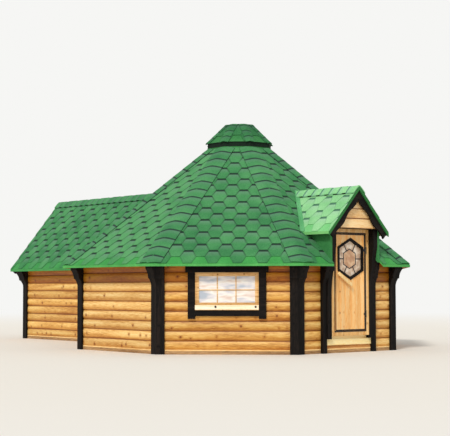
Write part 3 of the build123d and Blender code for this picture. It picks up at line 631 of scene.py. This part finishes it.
def outwardOf(number):
    # level direction out of wall 0 to 7, and the one to its right as seen from outside
    turn = math.radians(45 * number)
    sine, cosine = math.sin(turn), math.cos(turn)
    return np.array([-sine, -cosine, 0]), np.array([cosine, -sine, 0])


def hipPlanes(number):
    # the upright planes through the octagon's middle and both corners of a wall, facing away
    outward, across = outwardOf(number)
    tilt = math.radians(22.5)
    inward = -outward * math.sin(tilt)
    return [localPlane((0, 0, 0), side * across * math.cos(tilt) + inward) for side in (-1, 1)]


def mainFacet(number, extraPlanes=(), shift=0.0):
    # one slope of the pyramid, from the eave up to just under the collar
    outward, across = outwardOf(number)
    top = collarApothem - roof["underCollar"]
    rim = outward * (eave - roof["boxMargin"])
    planes = hipPlanes(number) + [localPlane(outward * top, -outward), localPlane(rim, outward)]
    origin = outward * eave + np.array([0, middleY, mainEaveTop])
    length = (eave - top) / math.cos(mainTilt)
    return makeFacet(origin, across, roof["mainPitch"], length, eave * eighth,
        planes + list(extraPlanes), shift)


def gableFacet(side, box, pitch, endCut, valleyPlane):
    # one slope of a gable roof whose ridge runs along Y at X 0
    slope = math.tan(math.radians(pitch))
    half = max(abs(box[0].x), abs(box[1].x))
    ridge = box[1].z
    middle = (box[0].y + box[1].y) / 2
    origin = (side * half, middle, ridge - slope * half)
    cuts = [((0, 0, 0), (-side, 0, 0)), valleyPlane, endCut]
    length = half / math.cos(math.radians(pitch))
    halfFoot = (box[1].y - box[0].y) / 2 + roof["spareEnd"]
    return makeFacet(origin, (0, side, 0), pitch, length, halfFoot, cuts)


def onFacet(facet, u, v, height):
    # points u across a facet, v up its slope and a height above it
    return (facet["origin"] + u[..., None] * facet["across"] + v[..., None] * facet["up"]
        + height[..., None] * facet["normal"]).reshape(-1, 3)


def feltCopies(points, across, along, rim, rng, planes, paintedSunlight=0.0):
    # Copies of one piece of felt, cut by the planes. Its uv is its place across and along, and
    # its tone is random for each copy, with a paler share of painted sunlight added, and -1 on
    # the cut edge.
    count = len(points) // rim.size
    uv = np.broadcast_to(np.stack([across / 2 + 0.5, along], -1), (count,) + rim.shape + (2,))
    tone = np.where(rim, -1.0, rng.random((count, 1, 1)) + paintedSunlight).ravel()
    faces = copiesOf(gridFaces(*rim.shape), count, rim.size)
    obj = makeObject(points, faces, uv.reshape(-1, 2), tone)
    cutMesh(obj, planes)
    return obj


def rimOf(grid):
    # the lower edge and both sides of a piece
    rim = np.zeros_like(grid, bool)
    rim[0] = rim[:, 0] = rim[:, -1] = True
    return rim


def tabField(facet, seed, paintedSunlight=0.0):
    # A tab is a hexagon with u = centre + s * half(t), v = start + t * 2 * exposure, where half(t)
    # runs from half the flat to its widest and back. Its height is bed + lift * (1 - t), and
    # the rim of the grid drops to the deck.
    rng = np.random.default_rng(seed)
    pitch, flat, course = roof["tabPitch"], roof["tabFlat"], roof["exposure"]
    s = np.array([-1, -1, -0.5, 0, 0.5, 1, 1])
    t = np.array([0, 0, 0.2, 0.5, 0.8, 1])
    gridT, gridS = np.meshgrid(t, s, indexing="ij")
    rim = rimOf(gridS)
    half = np.interp(gridT, [0, 0.5, 1], [flat / 2, (pitch - flat) / 2, flat / 2])
    rows = np.arange(int(facet["length"] / course) + 1)
    columns = np.arange(-int(facet["halfFoot"] / pitch) - 2, int(facet["halfFoot"] / pitch) + 3)
    row, column = [grid.ravel() for grid in np.meshgrid(rows, columns, indexing="ij")]
    centre = facet["shift"] + (column + 0.5 * (row % 2)) * pitch
    keep = np.abs(centre) < facet["halfFoot"] + pitch / 2
    centre, row = centre[keep], row[keep]
    count = len(centre)
    raised = rng.uniform(-roof["uneven"], roof["uneven"], (count, 1, 1)) * (1 - gridT)
    curl = rng.uniform(0, roof["curl"], (count, 1, 1)) * np.abs(gridS) * (1 - gridT)
    height = np.where(rim, 0.0, roof["bed"] + roof["lift"] * (1 - gridT) + raised + curl)
    u = centre[:, None, None] + gridS * half
    v = (roof["start"] + row * course)[:, None, None] + gridT * 2 * course
    return feltCopies(onFacet(facet, u, v, height), gridS, gridT, rim, rng, facet["planes"], paintedSunlight)


def strip(facet, low, high, height):
    # a plain band across a facet from v = low to high, its long edges dropping to the deck
    v = np.array([low, low, high, high])[:, None]
    u = facet["halfFoot"] * np.linspace(-1, 1, 13)[None] + 0 * v
    lifted = np.array([0, height, height, 0])[:, None] + 0 * u
    obj = makeObject(onFacet(facet, u, v + 0 * u, lifted), gridFaces(4, 13))
    cutMesh(obj, facet["planes"])
    return obj


def foldedPieces(start, end, downLeft, downRight, settings, seed, planes=()):
    # Pieces bent over a hip or ridge from start to end. Across, a runs from -1 to 1 and the
    # piece falls away as sqrt(a^2 + fold^2) - 0.6 fold, so that the fold is round; along, b runs
    # from the lower edge up, and the height over the roof is bed + lift * (1 - b), on the rim
    # only a share of bed.
    rng = np.random.default_rng(seed)
    start, end = np.array(start, float), np.array(end, float)
    path = unit(end - start)
    total = np.linalg.norm(end - start)
    level = unit(unit(downRight) - unit(downLeft))
    above = unit(-(unit(downRight) + unit(downLeft)))
    cosine = float(unit(downRight) @ level)
    sine = float(-(unit(downRight) @ above))
    reach, course, fold = settings["half"], settings["exposure"], settings["fold"]
    a = np.array([-1, -1, -0.75, -0.4, -0.15, -0.05, 0.05, 0.15, 0.4, 0.75, 1, 1]) * reach
    b = np.array([0, 0, 0.5, 1.0])
    gridB, gridA = np.meshgrid(b, a, indexing="ij")
    rim = rimOf(gridA)
    count = int(math.ceil(total / course))
    first = np.arange(count) * course + settings["start"]
    sag = settings["arch"] * (gridA / reach) ** 2       # the lower edge is a flat arch
    along = first[:, None, None] + gridB * course * settings["lap"] - sag * (1 - gridB)
    along = np.clip(along, 0, total)
    raised = rng.uniform(0, settings["uneven"], (count, 1, 1))
    height = settings["bed"] + settings["lift"] * (1 - gridB) + raised
    height = np.where(rim, settings["bed"] * settings["rimBed"], height) / cosine
    fall = np.sqrt(gridA ** 2 + fold ** 2) - fold * 0.6
    points = (start + along[..., None] * path + (gridA * cosine + 0 * along)[..., None] * level
        + (height - fall * sine)[..., None] * above).reshape(-1, 3)
    return feltCopies(points, gridA / reach, gridB, rim, rng, planes)


def valleyStrip(foot, head, lowNormal, highNormal, reach, height):
    # Two flat wings from foot to head, one on each roof. A wing runs from the valley square to
    # it in its roof's plane, and stands a height over that plane; they meet 0.6 of both heights up.
    foot, head = np.array(foot, float), np.array(head, float)
    path = unit(head - foot)
    wings = [np.cross(path, unit(normal)) for normal in (lowNormal, highNormal)]
    for index, other in ((0, highNormal), (1, lowNormal)):
        if wings[index] @ np.array(other, float) < 0:
            wings[index] = -wings[index]
    above = [unit(normal) * height for normal in (lowNormal, highNormal)]
    profile = np.array([wings[0] * reach, wings[0] * reach + above[0], (above[0] + above[1]) * 0.6,
        wings[1] * reach + above[1], wings[1] * reach])
    places = np.linspace(0, 1, 9)[:, None] * (head - foot) + foot
    points = (places[:, None] + profile[None]).reshape(-1, 3)
    return makeObject(points, gridFaces(9, 5))


dormerSlope = math.tan(math.radians(roof["dormerPitch"]))
extensionSlope = math.tan(math.radians(roof["extensionPitch"]))
dormerRidge, extensionRidge = dormerBox[1].z, extensionBox[1].z
apex = np.array([0, middleY, mainApex])

# what lies under the small gable or the extension roof is left out of the main roof's tabs
underDormer, underExtension = [{side: ((0, 0, ridge), (-side * slope, 0, -1)) for side in (-1, 1)}
    for ridge, slope in ((dormerRidge, dormerSlope), (extensionRidge, extensionSlope))]
frontRoof, backRoof = [(tuple(apex), (0, way * mainSlope, -1)) for way in (1, -1)]
tabShift = roof["tabOffset"] + roof["tabPitch"] / 2

fields = []
for number in (1, 2, 3, 5, 6, 7):
    # painted sunlight: the two side slopes get a paler tone
    paintedSunlight = roof["paintedSunlight"] if number in (2, 6) else 0.0
    fields.append(tabField(mainFacet(number, (), tabShift), 10 + number, paintedSunlight))
for side in (-1, 1):
    middleCut, cheek = ((0, 0, 0), (-side, 0, 0)), (side * roof["cheek"], 0, 0)
    overDoor = [middleCut, (cheek, (side, 0, 0)), underDormer[side]]
    besideDoor = [(cheek, (-side, 0, 0))]
    back = [middleCut, underExtension[side]]
    for wall, cuts, seed in ((0, overDoor, 10), (0, besideDoor, 10), (4, back, 14)):
        fields.append(tabField(mainFacet(wall, cuts, tabShift), seed))
mainTabs = dress("main_roof_shingles", fields, tabFelt)
print("main roof tabs:", len(mainTabs.data.polygons), "faces")

extensionEnd, dormerEnd = extensionBox[1].y - roof["endMargin"], vergeBox[0].y + roof["endMargin"]
endCut, frontCut = ((0, extensionEnd, 0), (0, 1, 0)), ((0, dormerEnd, 0), (0, -1, 0))
dormerWhole = (Vector((dormerBox[0].x, vergeBox[0].y, dormerBox[0].z)), dormerBox[1])
extensionFacets = [gableFacet(side, extensionBox, roof["extensionPitch"], endCut, backRoof)
    for side in (-1, 1)]
dormerFacets = [gableFacet(side, dormerWhole, roof["dormerPitch"], frontCut, frontRoof)
    for side in (-1, 1)]
extensionTabs = [tabField(facet, 31 + i) for i, facet in enumerate(extensionFacets)]
dormerTabs = [tabField(facet, 41 + i) for i, facet in enumerate(dormerFacets)]
dress("extension_shingles", extensionTabs, tabFelt)
dress("dormer_shingles", dormerTabs, paintedSunGableFelt)

# plain starter strips along every eave, seen between the tabs of the first course
starter = dict(foot=0.001, head=0.2, height=0.0013)
starterFacets = []
for number in range(8):
    facet = mainFacet(number)
    cuts = [[]]
    if number in (0, 4):
        limit = roof["cheek"] if number == 0 else abs(extensionBox[0].x)
        cuts = [[((side * limit, 0, 0), (-side, 0, 0))] for side in (-1, 1)]
    starterFacets += [dict(facet, planes=facet["planes"] + extra) for extra in cuts]
starterRuns = [("eave_starter_strips", starterFacets, starterFelt), ("extension_starter_strips",
    extensionFacets, extensionStarter), ("dormer_starter_strips", dormerFacets, paintedSunGableStarter)]
for name, facets, felt in starterRuns:
    strips = [strip(facet, starter["foot"], starter["head"], starter["height"]) for facet in facets]
    dress(name, strips, felt)

# hips and ridges
hipPieces = dict(half=0.1667, exposure=0.194, start=0.0, lap=1.35, arch=0.012, bed=0.0095,
    lift=0.005, uneven=0.0012, rimBed=0.2, fold=0.045)
ridgePieces = dict(hipPieces, exposure=0.17)


def slopeDown(number, pitch):
    # straight down a facet of the pyramid or the cap
    outward = outwardOf(number)[0]
    return outward * math.cos(math.radians(pitch)) - np.array([0, 0, math.sin(math.radians(pitch))])


def hipRun(number, pitch, foot, head, settings, seed, planes=()):
    # pieces over the hip between facet number and the next, from foot to head
    path = unit(head - foot)
    downs = [slopeDown(facetNumber, pitch) for facetNumber in (number + 1, number)]
    left, right = [unit(down - path * (down @ path)) for down in downs]
    return foldedPieces(foot, head, left, right, settings, seed, planes)


def cornerOf(number):
    # level direction to the octagon's corner between wall number and the next
    turn = math.radians(45 * number + 22.5)
    return np.array([-math.sin(turn), -math.cos(turn), 0])


hips = []
for number in range(8):
    corner = cornerOf(number)
    top = collarApothem / hipCosine - roof["hipUnderCollar"]
    foot = apex + corner * eave / hipCosine - np.array([0, 0, mainSlope * eave])
    head = apex + corner * top - np.array([0, 0, mainSlope * top * hipCosine])
    outwards = [outwardOf(wall)[0] for wall in (number, number + 1)]
    rims = [localPlane(out * (eave - roof["boxMargin"]), out) for out in outwards]
    hips.append(hipRun(number, roof["mainPitch"], foot, head, hipPieces, 60 + number, rims))
dress("hip_shingles", hips, hipFelt)

extensionDown = [unit((side, 0, -extensionSlope)) for side in (-1, 1)]
dormerDown = [unit((side, 0, -dormerSlope)) for side in (-1, 1)]
extensionJoin = middleY + (mainApex - extensionRidge) / mainSlope
dormerJoin = middleY - (mainApex - dormerRidge) / mainSlope
extensionCaps = foldedPieces((0, extensionEnd, extensionRidge), (0, extensionJoin, extensionRidge),
    extensionDown[1], extensionDown[0], ridgePieces, 71)
dormerCaps = foldedPieces((0, dormerEnd, dormerRidge), (0, dormerJoin, dormerRidge), dormerDown[0],
    dormerDown[1], ridgePieces, 72)
dress("extension_ridge_shingles", [extensionCaps], ridgeFelt)
dress("dormer_ridge_shingles", [dormerCaps], paintedSunGableHipFelt)

# the two valleys of the small gable and the two of the extension
valley = dict(reach=0.038, height=0.010)
valleys = {-1: [], 1: []}
for side in (-1, 1):
    for box, slope, front, join in ((dormerBox, dormerSlope, -1, dormerJoin),
            (extensionBox, extensionSlope, 1, extensionJoin)):
        half = max(abs(box[0].x), abs(box[1].x))
        ridge = box[1].z
        level = ridge - slope * half
        foot = (side * half, middleY + front * (mainApex - level) / mainSlope, level)
        valleys[front].append(valleyStrip(foot, (0, join, ridge), (0, front * mainSlope, 1),
            (side * slope, 0, 1), valley["reach"], valley["height"]))
dress("dormer_valley_strips", valleys[-1], valleyFelt)
dress("extension_valley_strips", valleys[1], roofFelt)

# cap on the roof's top: tabs on its eight slopes and pieces over its hips
cap = dict(topApothem=0.1922, upstand=0.024, upstandThick=0.004, upstandSunk=0.02,
    hips=dict(hipPieces, half=0.075, exposure=0.135, bed=0.0085, lift=0.004, fold=0.012,
    arch=0.006))
capLow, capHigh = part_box("roof_cap")
capFoot = -capLow.x
capRise = capHigh.z - capLow.z
capPitch = math.degrees(math.atan2(capRise, capFoot - cap["topApothem"]))
capTopPlane = ((0, 0, capHigh.z - roof["boxMargin"]), (0, 0, 1))
capFields, capHips = [], []
for number in range(8):
    outward, across = outwardOf(number)
    origin = outward * capFoot + np.array([0, middleY, capLow.z])
    length = capRise / math.sin(math.radians(capPitch))
    planes = hipPlanes(number) + [capTopPlane]
    facet = makeFacet(origin, across, capPitch, length, capFoot * eighth, planes, tabShift)
    capFields.append(tabField(facet, 80 + number))
    corner = cornerOf(number)
    foot = corner * capFoot / hipCosine + np.array([0, middleY, capLow.z])
    head = corner * cap["topApothem"] / hipCosine + np.array([0, middleY, capHigh.z])
    capHips.append(hipRun(number, capPitch, foot, head, cap["hips"], 90 + number, [capTopPlane]))
dress("cap_shingles", capFields, capFelt)
dress("cap_hip_shingles", capHips, capHipFelt)


def octagonBand(apothem, low, high, thickness):
    # a closed ring: an outline of four corners (out, z) carried round the octagon
    outs = np.array([apothem, apothem + thickness, apothem + thickness, apothem, apothem])
    heights = np.array([low, low, high, high, low])
    corners = np.array([cornerOf(number) for number in range(8)]) / hipCosine
    points = outs[:, None, None] * corners[None] + heights[:, None, None] * np.array([0, 0, 1.0])
    points = (points + np.array([0, middleY, 0])).reshape(-1, 3)
    return makeObject(points, gridFaces(5, 8, True), weld=True)


collarFoot = mainApex - mainSlope * (collarApothem + cap["upstandThick"])
upstand = octagonBand(collarApothem, collarFoot - cap["upstandSunk"], collarFoot + cap["upstand"],
    cap["upstandThick"])
dress("collar_upstand", [upstand], vergeFelt)
print("roof pieces done")


# bars, boards and knobs

def beam(start, end, wide, thick, widthWay, rounding=0.002):
    # a rounded outline carried from start to end: p(s, t) = start + t * path + outline(s), and
    # rings at 0.94 and 0 of the outline close both ends; widthWay is the direction of its width
    start, end = np.array(start, float), np.array(end, float)
    path = unit(end - start)
    widthWay = unit(widthWay)
    other = np.cross(path, widthWay)
    corner = np.array([(1, 1), (-1, 1), (-1, -1), (1, -1)], float)
    turn = np.radians([[0, 45, 90], [90, 135, 180], [180, 225, 270], [270, 315, 360]])
    arcs = np.stack([np.cos(turn), np.sin(turn)], -1) * rounding
    inner = corner[:, None] * (np.array([wide, thick]) / 2 - rounding)
    outline = (inner + arcs).reshape(-1, 2)
    ring = outline[:, :1] * widthWay + outline[:, 1:] * other
    rings = [start + 0 * ring, start + ring * 0.94, start + ring + path * rounding,
        end + ring - path * rounding, end + ring * 0.94, end + 0 * ring]
    points = np.array(rings).reshape(-1, 3)
    return makeObject(points, gridFaces(6, len(outline), True), weld=True)


def knob(place, axis, radii, reaches, around=12):
    # a turned shape: p(s, t) = place + axis * reach(t) + radius(t) * (cos s, sin s)
    axis = unit(axis)
    first = unit(np.cross(axis, (0.3, 0.2, 1.0)))
    second = np.cross(axis, first)
    angle = np.linspace(0, 2 * np.pi, around, endpoint=False)
    circle = np.cos(angle)[:, None] * first + np.sin(angle)[:, None] * second
    reach, radius = np.array(reaches)[:, None, None], np.array(radii)[:, None, None]
    points = (np.array(place) + reach * axis + radius * circle[None]).reshape(-1, 3)
    return makeObject(points, gridFaces(len(radii), around, True), weld=True)


def onWall(number, along, out, up):
    # a point of the part: metres along wall 0 to 7, out from the octagon's middle and up
    outward, across = outwardOf(number)
    return across * along + outward * out + np.array([0, middleY, up])


def wallBoard(number, left, right, out, up, high, thick, rounding=0.002):
    # a level board along wall 0 to 7 from left to right
    return beam(onWall(number, left, out, up), onWall(number, right, out, up), high, thick,
        (0, 0, 1), rounding)


wallFront = 2.2655            # out to the crowns of the log boards
windowBars = dict(upright=(-0.129, 0.120), level=0.858, left=-0.374, right=0.374, foot=0.640,
    head=1.042, wide=0.013, thick=0.010, out=2.2688, levelProud=0.0006, railHead=0.690,
    railThick=0.012, railProud=0.001)
windowLedge = dict(half=0.425, foot=0.596, head=0.656, thick=0.003, rounding=0.001,
    casingProud=0.018, depth=0.022)
windowStays = dict(along=(-0.15, 0.385), up=0.634, radius=0.014, neck=0.7,
    reaches=(0, 0, 0.004, 0.006, 0.010, 0.014, 0.015))
bars, rails, ledges, stays = [], [], [], []
for number in (1, 7):
    outward, across = outwardOf(number)
    w = windowBars
    for along in w["upright"]:
        foot, head = [onWall(number, along, w["out"], up) for up in (w["foot"], w["head"])]
        bars.append(beam(foot, head, w["wide"], w["thick"], across))
    bars.append(wallBoard(number, w["left"], w["right"], w["out"] + w["levelProud"], w["level"],
        w["wide"], w["thick"]))
    rails.append(wallBoard(number, w["left"], w["right"], w["out"] + w["railProud"],
        (w["foot"] + w["railHead"]) / 2, w["railHead"] - w["foot"], w["railThick"]))
    d = windowLedge
    ledgeFront = wallFront + d["casingProud"] + d["depth"]
    ledges.append(wallBoard(number, -d["half"], d["half"], ledgeFront + d["thick"] / 2,
        (d["foot"] + d["head"]) / 2, d["head"] - d["foot"], d["thick"], d["rounding"]))
    r, neck = windowStays["radius"], windowStays["radius"] * windowStays["neck"]
    for along in windowStays["along"]:
        place = onWall(number, along, ledgeFront + d["thick"], windowStays["up"])
        stays.append(knob(place, outward, (0, neck, neck, r, r, neck, 0), windowStays["reaches"]))
dress("window_bars", bars, sashWood, "cabin")
dress("window_bottom_rails", rails, sashWood, "cabin")
dress("window_ledge_boards", ledges, ledgeWood, "cabin")
dress("window_stays", stays, steel, "cabin")

# thin pale battens along the walls' feet
batten = dict(low=0.044, high=0.062, front=0.004, thick=0.020, rounding=0.004, halfWall=0.835,
    extensionWall=0.842, extensionFrom=2.30, extensionTo=4.73, doorPost=0.517)
battenUp, battenHigh = (batten["low"] + batten["high"]) / 2, batten["high"] - batten["low"]
battenIn = batten["front"] - batten["thick"] / 2
half, post = batten["halfWall"], batten["doorPost"]
battens = []
for number in (0, 1, 2, 3, 5, 6, 7):
    for low, high in [(-half, half)] if number else [(-half, -post), (post, half)]:
        battens.append(wallBoard(number, low, high, wallFront + battenIn, battenUp, battenHigh,
            batten["thick"], batten["rounding"]))
for side in (-1, 1):
    x = side * (batten["extensionWall"] + battenIn)
    ends = [(x, middleY + batten[key], battenUp) for key in ("extensionFrom", "extensionTo")]
    battens.append(beam(*ends, battenHigh, batten["thick"], (0, 0, 1), batten["rounding"]))
riserFoot = dict(half=0.436, boardHigh=0.042, boardThick=0.003, boardRounding=0.001,
    battenThick=0.005, battenRounding=0.002)
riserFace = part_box("door_riser")[0].y


def riserStrip(up, high, thick, rounding):
    # a level strip along the front of the riser
    ends = [(side * riserFoot["half"], riserFace - thick / 2, up) for side in (-1, 1)]
    return beam(*ends, high, thick, (0, 0, 1), rounding)


battens.append(riserStrip(battenUp, battenHigh, riserFoot["battenThick"],
    riserFoot["battenRounding"]))
dress("wall_foot_battens", battens, battenWood, "cabin")
boardHigh = riserFoot["boardHigh"]
footBoard = riserStrip(boardHigh / 2, boardHigh, riserFoot["boardThick"],
    riserFoot["boardRounding"])
dress("riser_foot_board", [footBoard], baseWood, "cabin")

# seal strips on the leaf's margins, the widest on the hinge side
low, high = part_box("door_leaf")
leafSeal = dict(left=0.009, right=0.020, ends=0.014, thick=0.0014, rounding=0.0006)


def sealStrip(lowX, highX, lowZ, highZ, settings):
    # a flat strip in front of the leaf's face, along its longer side
    wide, tall = highX - lowX, highZ - lowZ
    y, middleX, middleZ = low.y - settings["thick"] / 2, (lowX + highX) / 2, (lowZ + highZ) / 2
    thick, rounding = settings["thick"], settings["rounding"]
    if wide < tall:
        return beam((middleX, y, lowZ), (middleX, y, highZ), wide, thick, (1, 0, 0), rounding)
    return beam((lowX, y, middleZ), (highX, y, middleZ), tall, thick, (0, 0, 1), rounding)


sealEdges = [
    (low.x, low.x + leafSeal["left"], low.z, high.z),
    (high.x - leafSeal["right"], high.x, low.z, high.z),
    (low.x, high.x, low.z, low.z + leafSeal["ends"]),
    (low.x, high.x, high.z - leafSeal["ends"], high.z)]
seals = [sealStrip(*edges, leafSeal) for edges in sealEdges]
dress("leaf_seals", seals, rubber, "door")

# came strips on both faces of the door glass: an inner hexagon and a bar from the middle of each
# of its sides to the frame
cames = dict(halfWide=0.222, halfHigh=0.258, shoulder=0.146, inner=0.52, outer=0.975, wide=0.0135,
    thick=0.0035, rounding=0.001)
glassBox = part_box("door_glass")
glassMiddle = (glassBox[0].z + glassBox[1].z) / 2


def hexagonAt(settings, scale, grow=0.0):
    # (x, z) of the upright hexagon's corners at a scale of the door window, grown on all sides:
    # the slanting sides fall by slope * x from the top
    slope = (settings["halfHigh"] - settings["shoulder"]) / settings["halfWide"]
    wide = settings["halfWide"] * scale + grow
    high = settings["halfHigh"] * scale + grow * math.hypot(1, slope)
    side = high - slope * wide
    right = [(0, high), (wide, side), (wide, -side)]
    return np.array(right + [(-x, -z) for x, z in right])


def cameRing(settings, face, way):
    # a flat-topped strip carried round the inner hexagon: outline (grow, out) at each corner, out
    # from the glass face the given way along Y
    grows = np.array([-1, -0.7, 0.7, 1, -1]) * settings["wide"] / 2
    outs = np.array([0, 1, 1, 0, 0]) * settings["thick"] * way
    hexagons = [hexagonAt(settings, settings["inner"], grow) for grow in grows]
    rings = [np.insert(hexagon, 1, out, axis=1) for hexagon, out in zip(hexagons, outs)]
    points = (np.array(rings) + np.array([0, face, glassMiddle])).reshape(-1, 3)
    return makeObject(points, gridFaces(5, 6, True), weld=True)


def cameBar(settings, start, end, face, way):
    # a straight strip on the glass between two (x, z) places about the window's middle
    y = face + way * settings["thick"] / 2
    across = (end[1] - start[1], 0, start[0] - end[0])
    return beam((start[0], y, glassMiddle + start[1]), (end[0], y, glassMiddle + end[1]),
        settings["wide"], settings["thick"], across, settings["rounding"])


inner, outer = [hexagonAt(cames, cames[key]) for key in ("inner", "outer")]
sideMiddles = [(corners + np.roll(corners, -1, axis=0)) / 2 for corners in (inner, outer)]
strips = []
for face, way in ((glassBox[0].y, -1), (glassBox[1].y, 1)):
    strips.append(cameRing(cames, face, way))
    strips += [cameBar(cames, start, end, face, way) for start, end in zip(*sideMiddles)]
leadCames = dress("door_lead_cames", strips, steel, "door")
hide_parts("door_window_lead")
print("window bars, battens and seals done")


# camera, from the fit to the photograph's corners

cameraSettings = dict(place=(-12.390, -15.6905, 0.906), yaw=39.994, pitch=3.1145, roll=-0.1,
    focal=1255.26, imageWide=450, sensor=36.0, farthest=500)


def makeCamera(settings):
    # looks along (sin yaw cos pitch, cos yaw cos pitch, sin pitch) and is rolled about that
    yaw, pitch, roll = [math.radians(settings[key]) for key in ("yaw", "pitch", "roll")]
    level = math.cos(pitch)
    forward = Vector((math.sin(yaw) * level, math.cos(yaw) * level, math.sin(pitch)))
    right = Vector((math.cos(yaw), -math.sin(yaw), 0))
    up = right.cross(forward)
    basis = Matrix((right, up, -forward)).transposed().to_4x4()
    data = bpy.data.cameras.new("camera")
    data.sensor_width = settings["sensor"]
    data.lens = settings["focal"] * settings["sensor"] / settings["imageWide"]
    data.clip_end = settings["farthest"]
    obj = bpy.data.objects.new("camera", data)
    obj.matrix_world = Matrix.Translation(settings["place"]) @ basis @ Matrix.Rotation(roll, 4, "Z")
    bpy.context.scene.collection.objects.link(obj)
    bpy.context.scene.camera = obj


makeCamera(cameraSettings)


# floor, lamps and sky

stage = dict(floorHalf=90.0, floorDrop=0.001, floorNear=7.0, floorFar=26.0, floor="#E9E2D8",
    sky="#F6F6F4", floorRoughness=0.95, sun=2.0, sunFrom=(-0.70, -0.41, 0.72), sunWide=12.0,
    sunColour="#FFFCF6", world=0.66, worldColour="#F9FDFF")


def makeStage(settings):
    # a flat floor that fades into the sky's colour with distance, one wide sun and an even world
    half = settings["floorHalf"]
    line = np.linspace(-half, half, 5)
    y, x = np.meshgrid(line, line, indexing="ij")
    points = np.stack([x, y, 0 * x - settings["floorDrop"]], -1).reshape(-1, 3)
    floor = makeObject(points, gridFaces(5, 5))
    floor.name = floor.data.name = "floor"
    material, add = newMaterial("pale studio floor")
    place = add("TexCoord")
    distance = add("VectorMath", {0: place.outputs["Object"]}, "LENGTH")
    share = add("MapRange", {"Value": distance, "From Min": settings["floorNear"],
        "From Max": settings["floorFar"]}, smooth)
    shader = add("BsdfPrincipled", {"Base Color": settings["floor"],
        "Roughness": settings["floorRoughness"]})
    light = add("Emission", {"Color": settings["sky"], "Strength": 1.0})
    mixed = add("MixShader", {0: share, 1: shader, 2: light})
    add("OutputMaterial", {"Surface": mixed})
    floor.data.materials.append(material)
    sun = bpy.data.lights.new("sun", "SUN")
    sun.energy = settings["sun"]
    sun.angle = math.radians(settings["sunWide"])
    sun.color = hexColour(settings["sunColour"])[:3]
    lamp = bpy.data.objects.new("sun", sun)
    lamp.rotation_mode = "QUATERNION"
    lamp.rotation_quaternion = Vector(settings["sunFrom"]).to_track_quat("Z", "Y")
    bpy.context.scene.collection.objects.link(lamp)
    world = bpy.data.worlds.new("studio")
    bpy.context.scene.world = world
    world.use_nodes = True
    world.node_tree.nodes.clear()
    add = partial(addNode, world.node_tree)
    seen = add("LightPath")
    glossy = add("Math", {0: seen.outputs["Is Glossy Ray"], 1: seen.outputs["Is Transmission Ray"]},
        "MAXIMUM")
    straight = add("Math", {0: seen.outputs["Is Camera Ray"], 1: glossy}, "MAXIMUM")
    soft = add("Background", {"Color": settings["worldColour"], "Strength": settings["world"]})
    shown = add("Background", {"Color": settings["sky"], "Strength": 1.0})
    mixed = add("MixShader", {0: straight, 1: soft, 2: shown})
    add("OutputWorld", {"Surface": mixed})


makeStage(stage)
bpy.context.scene.view_settings.view_transform = "Standard"
print("camera, floor and lamps ready")
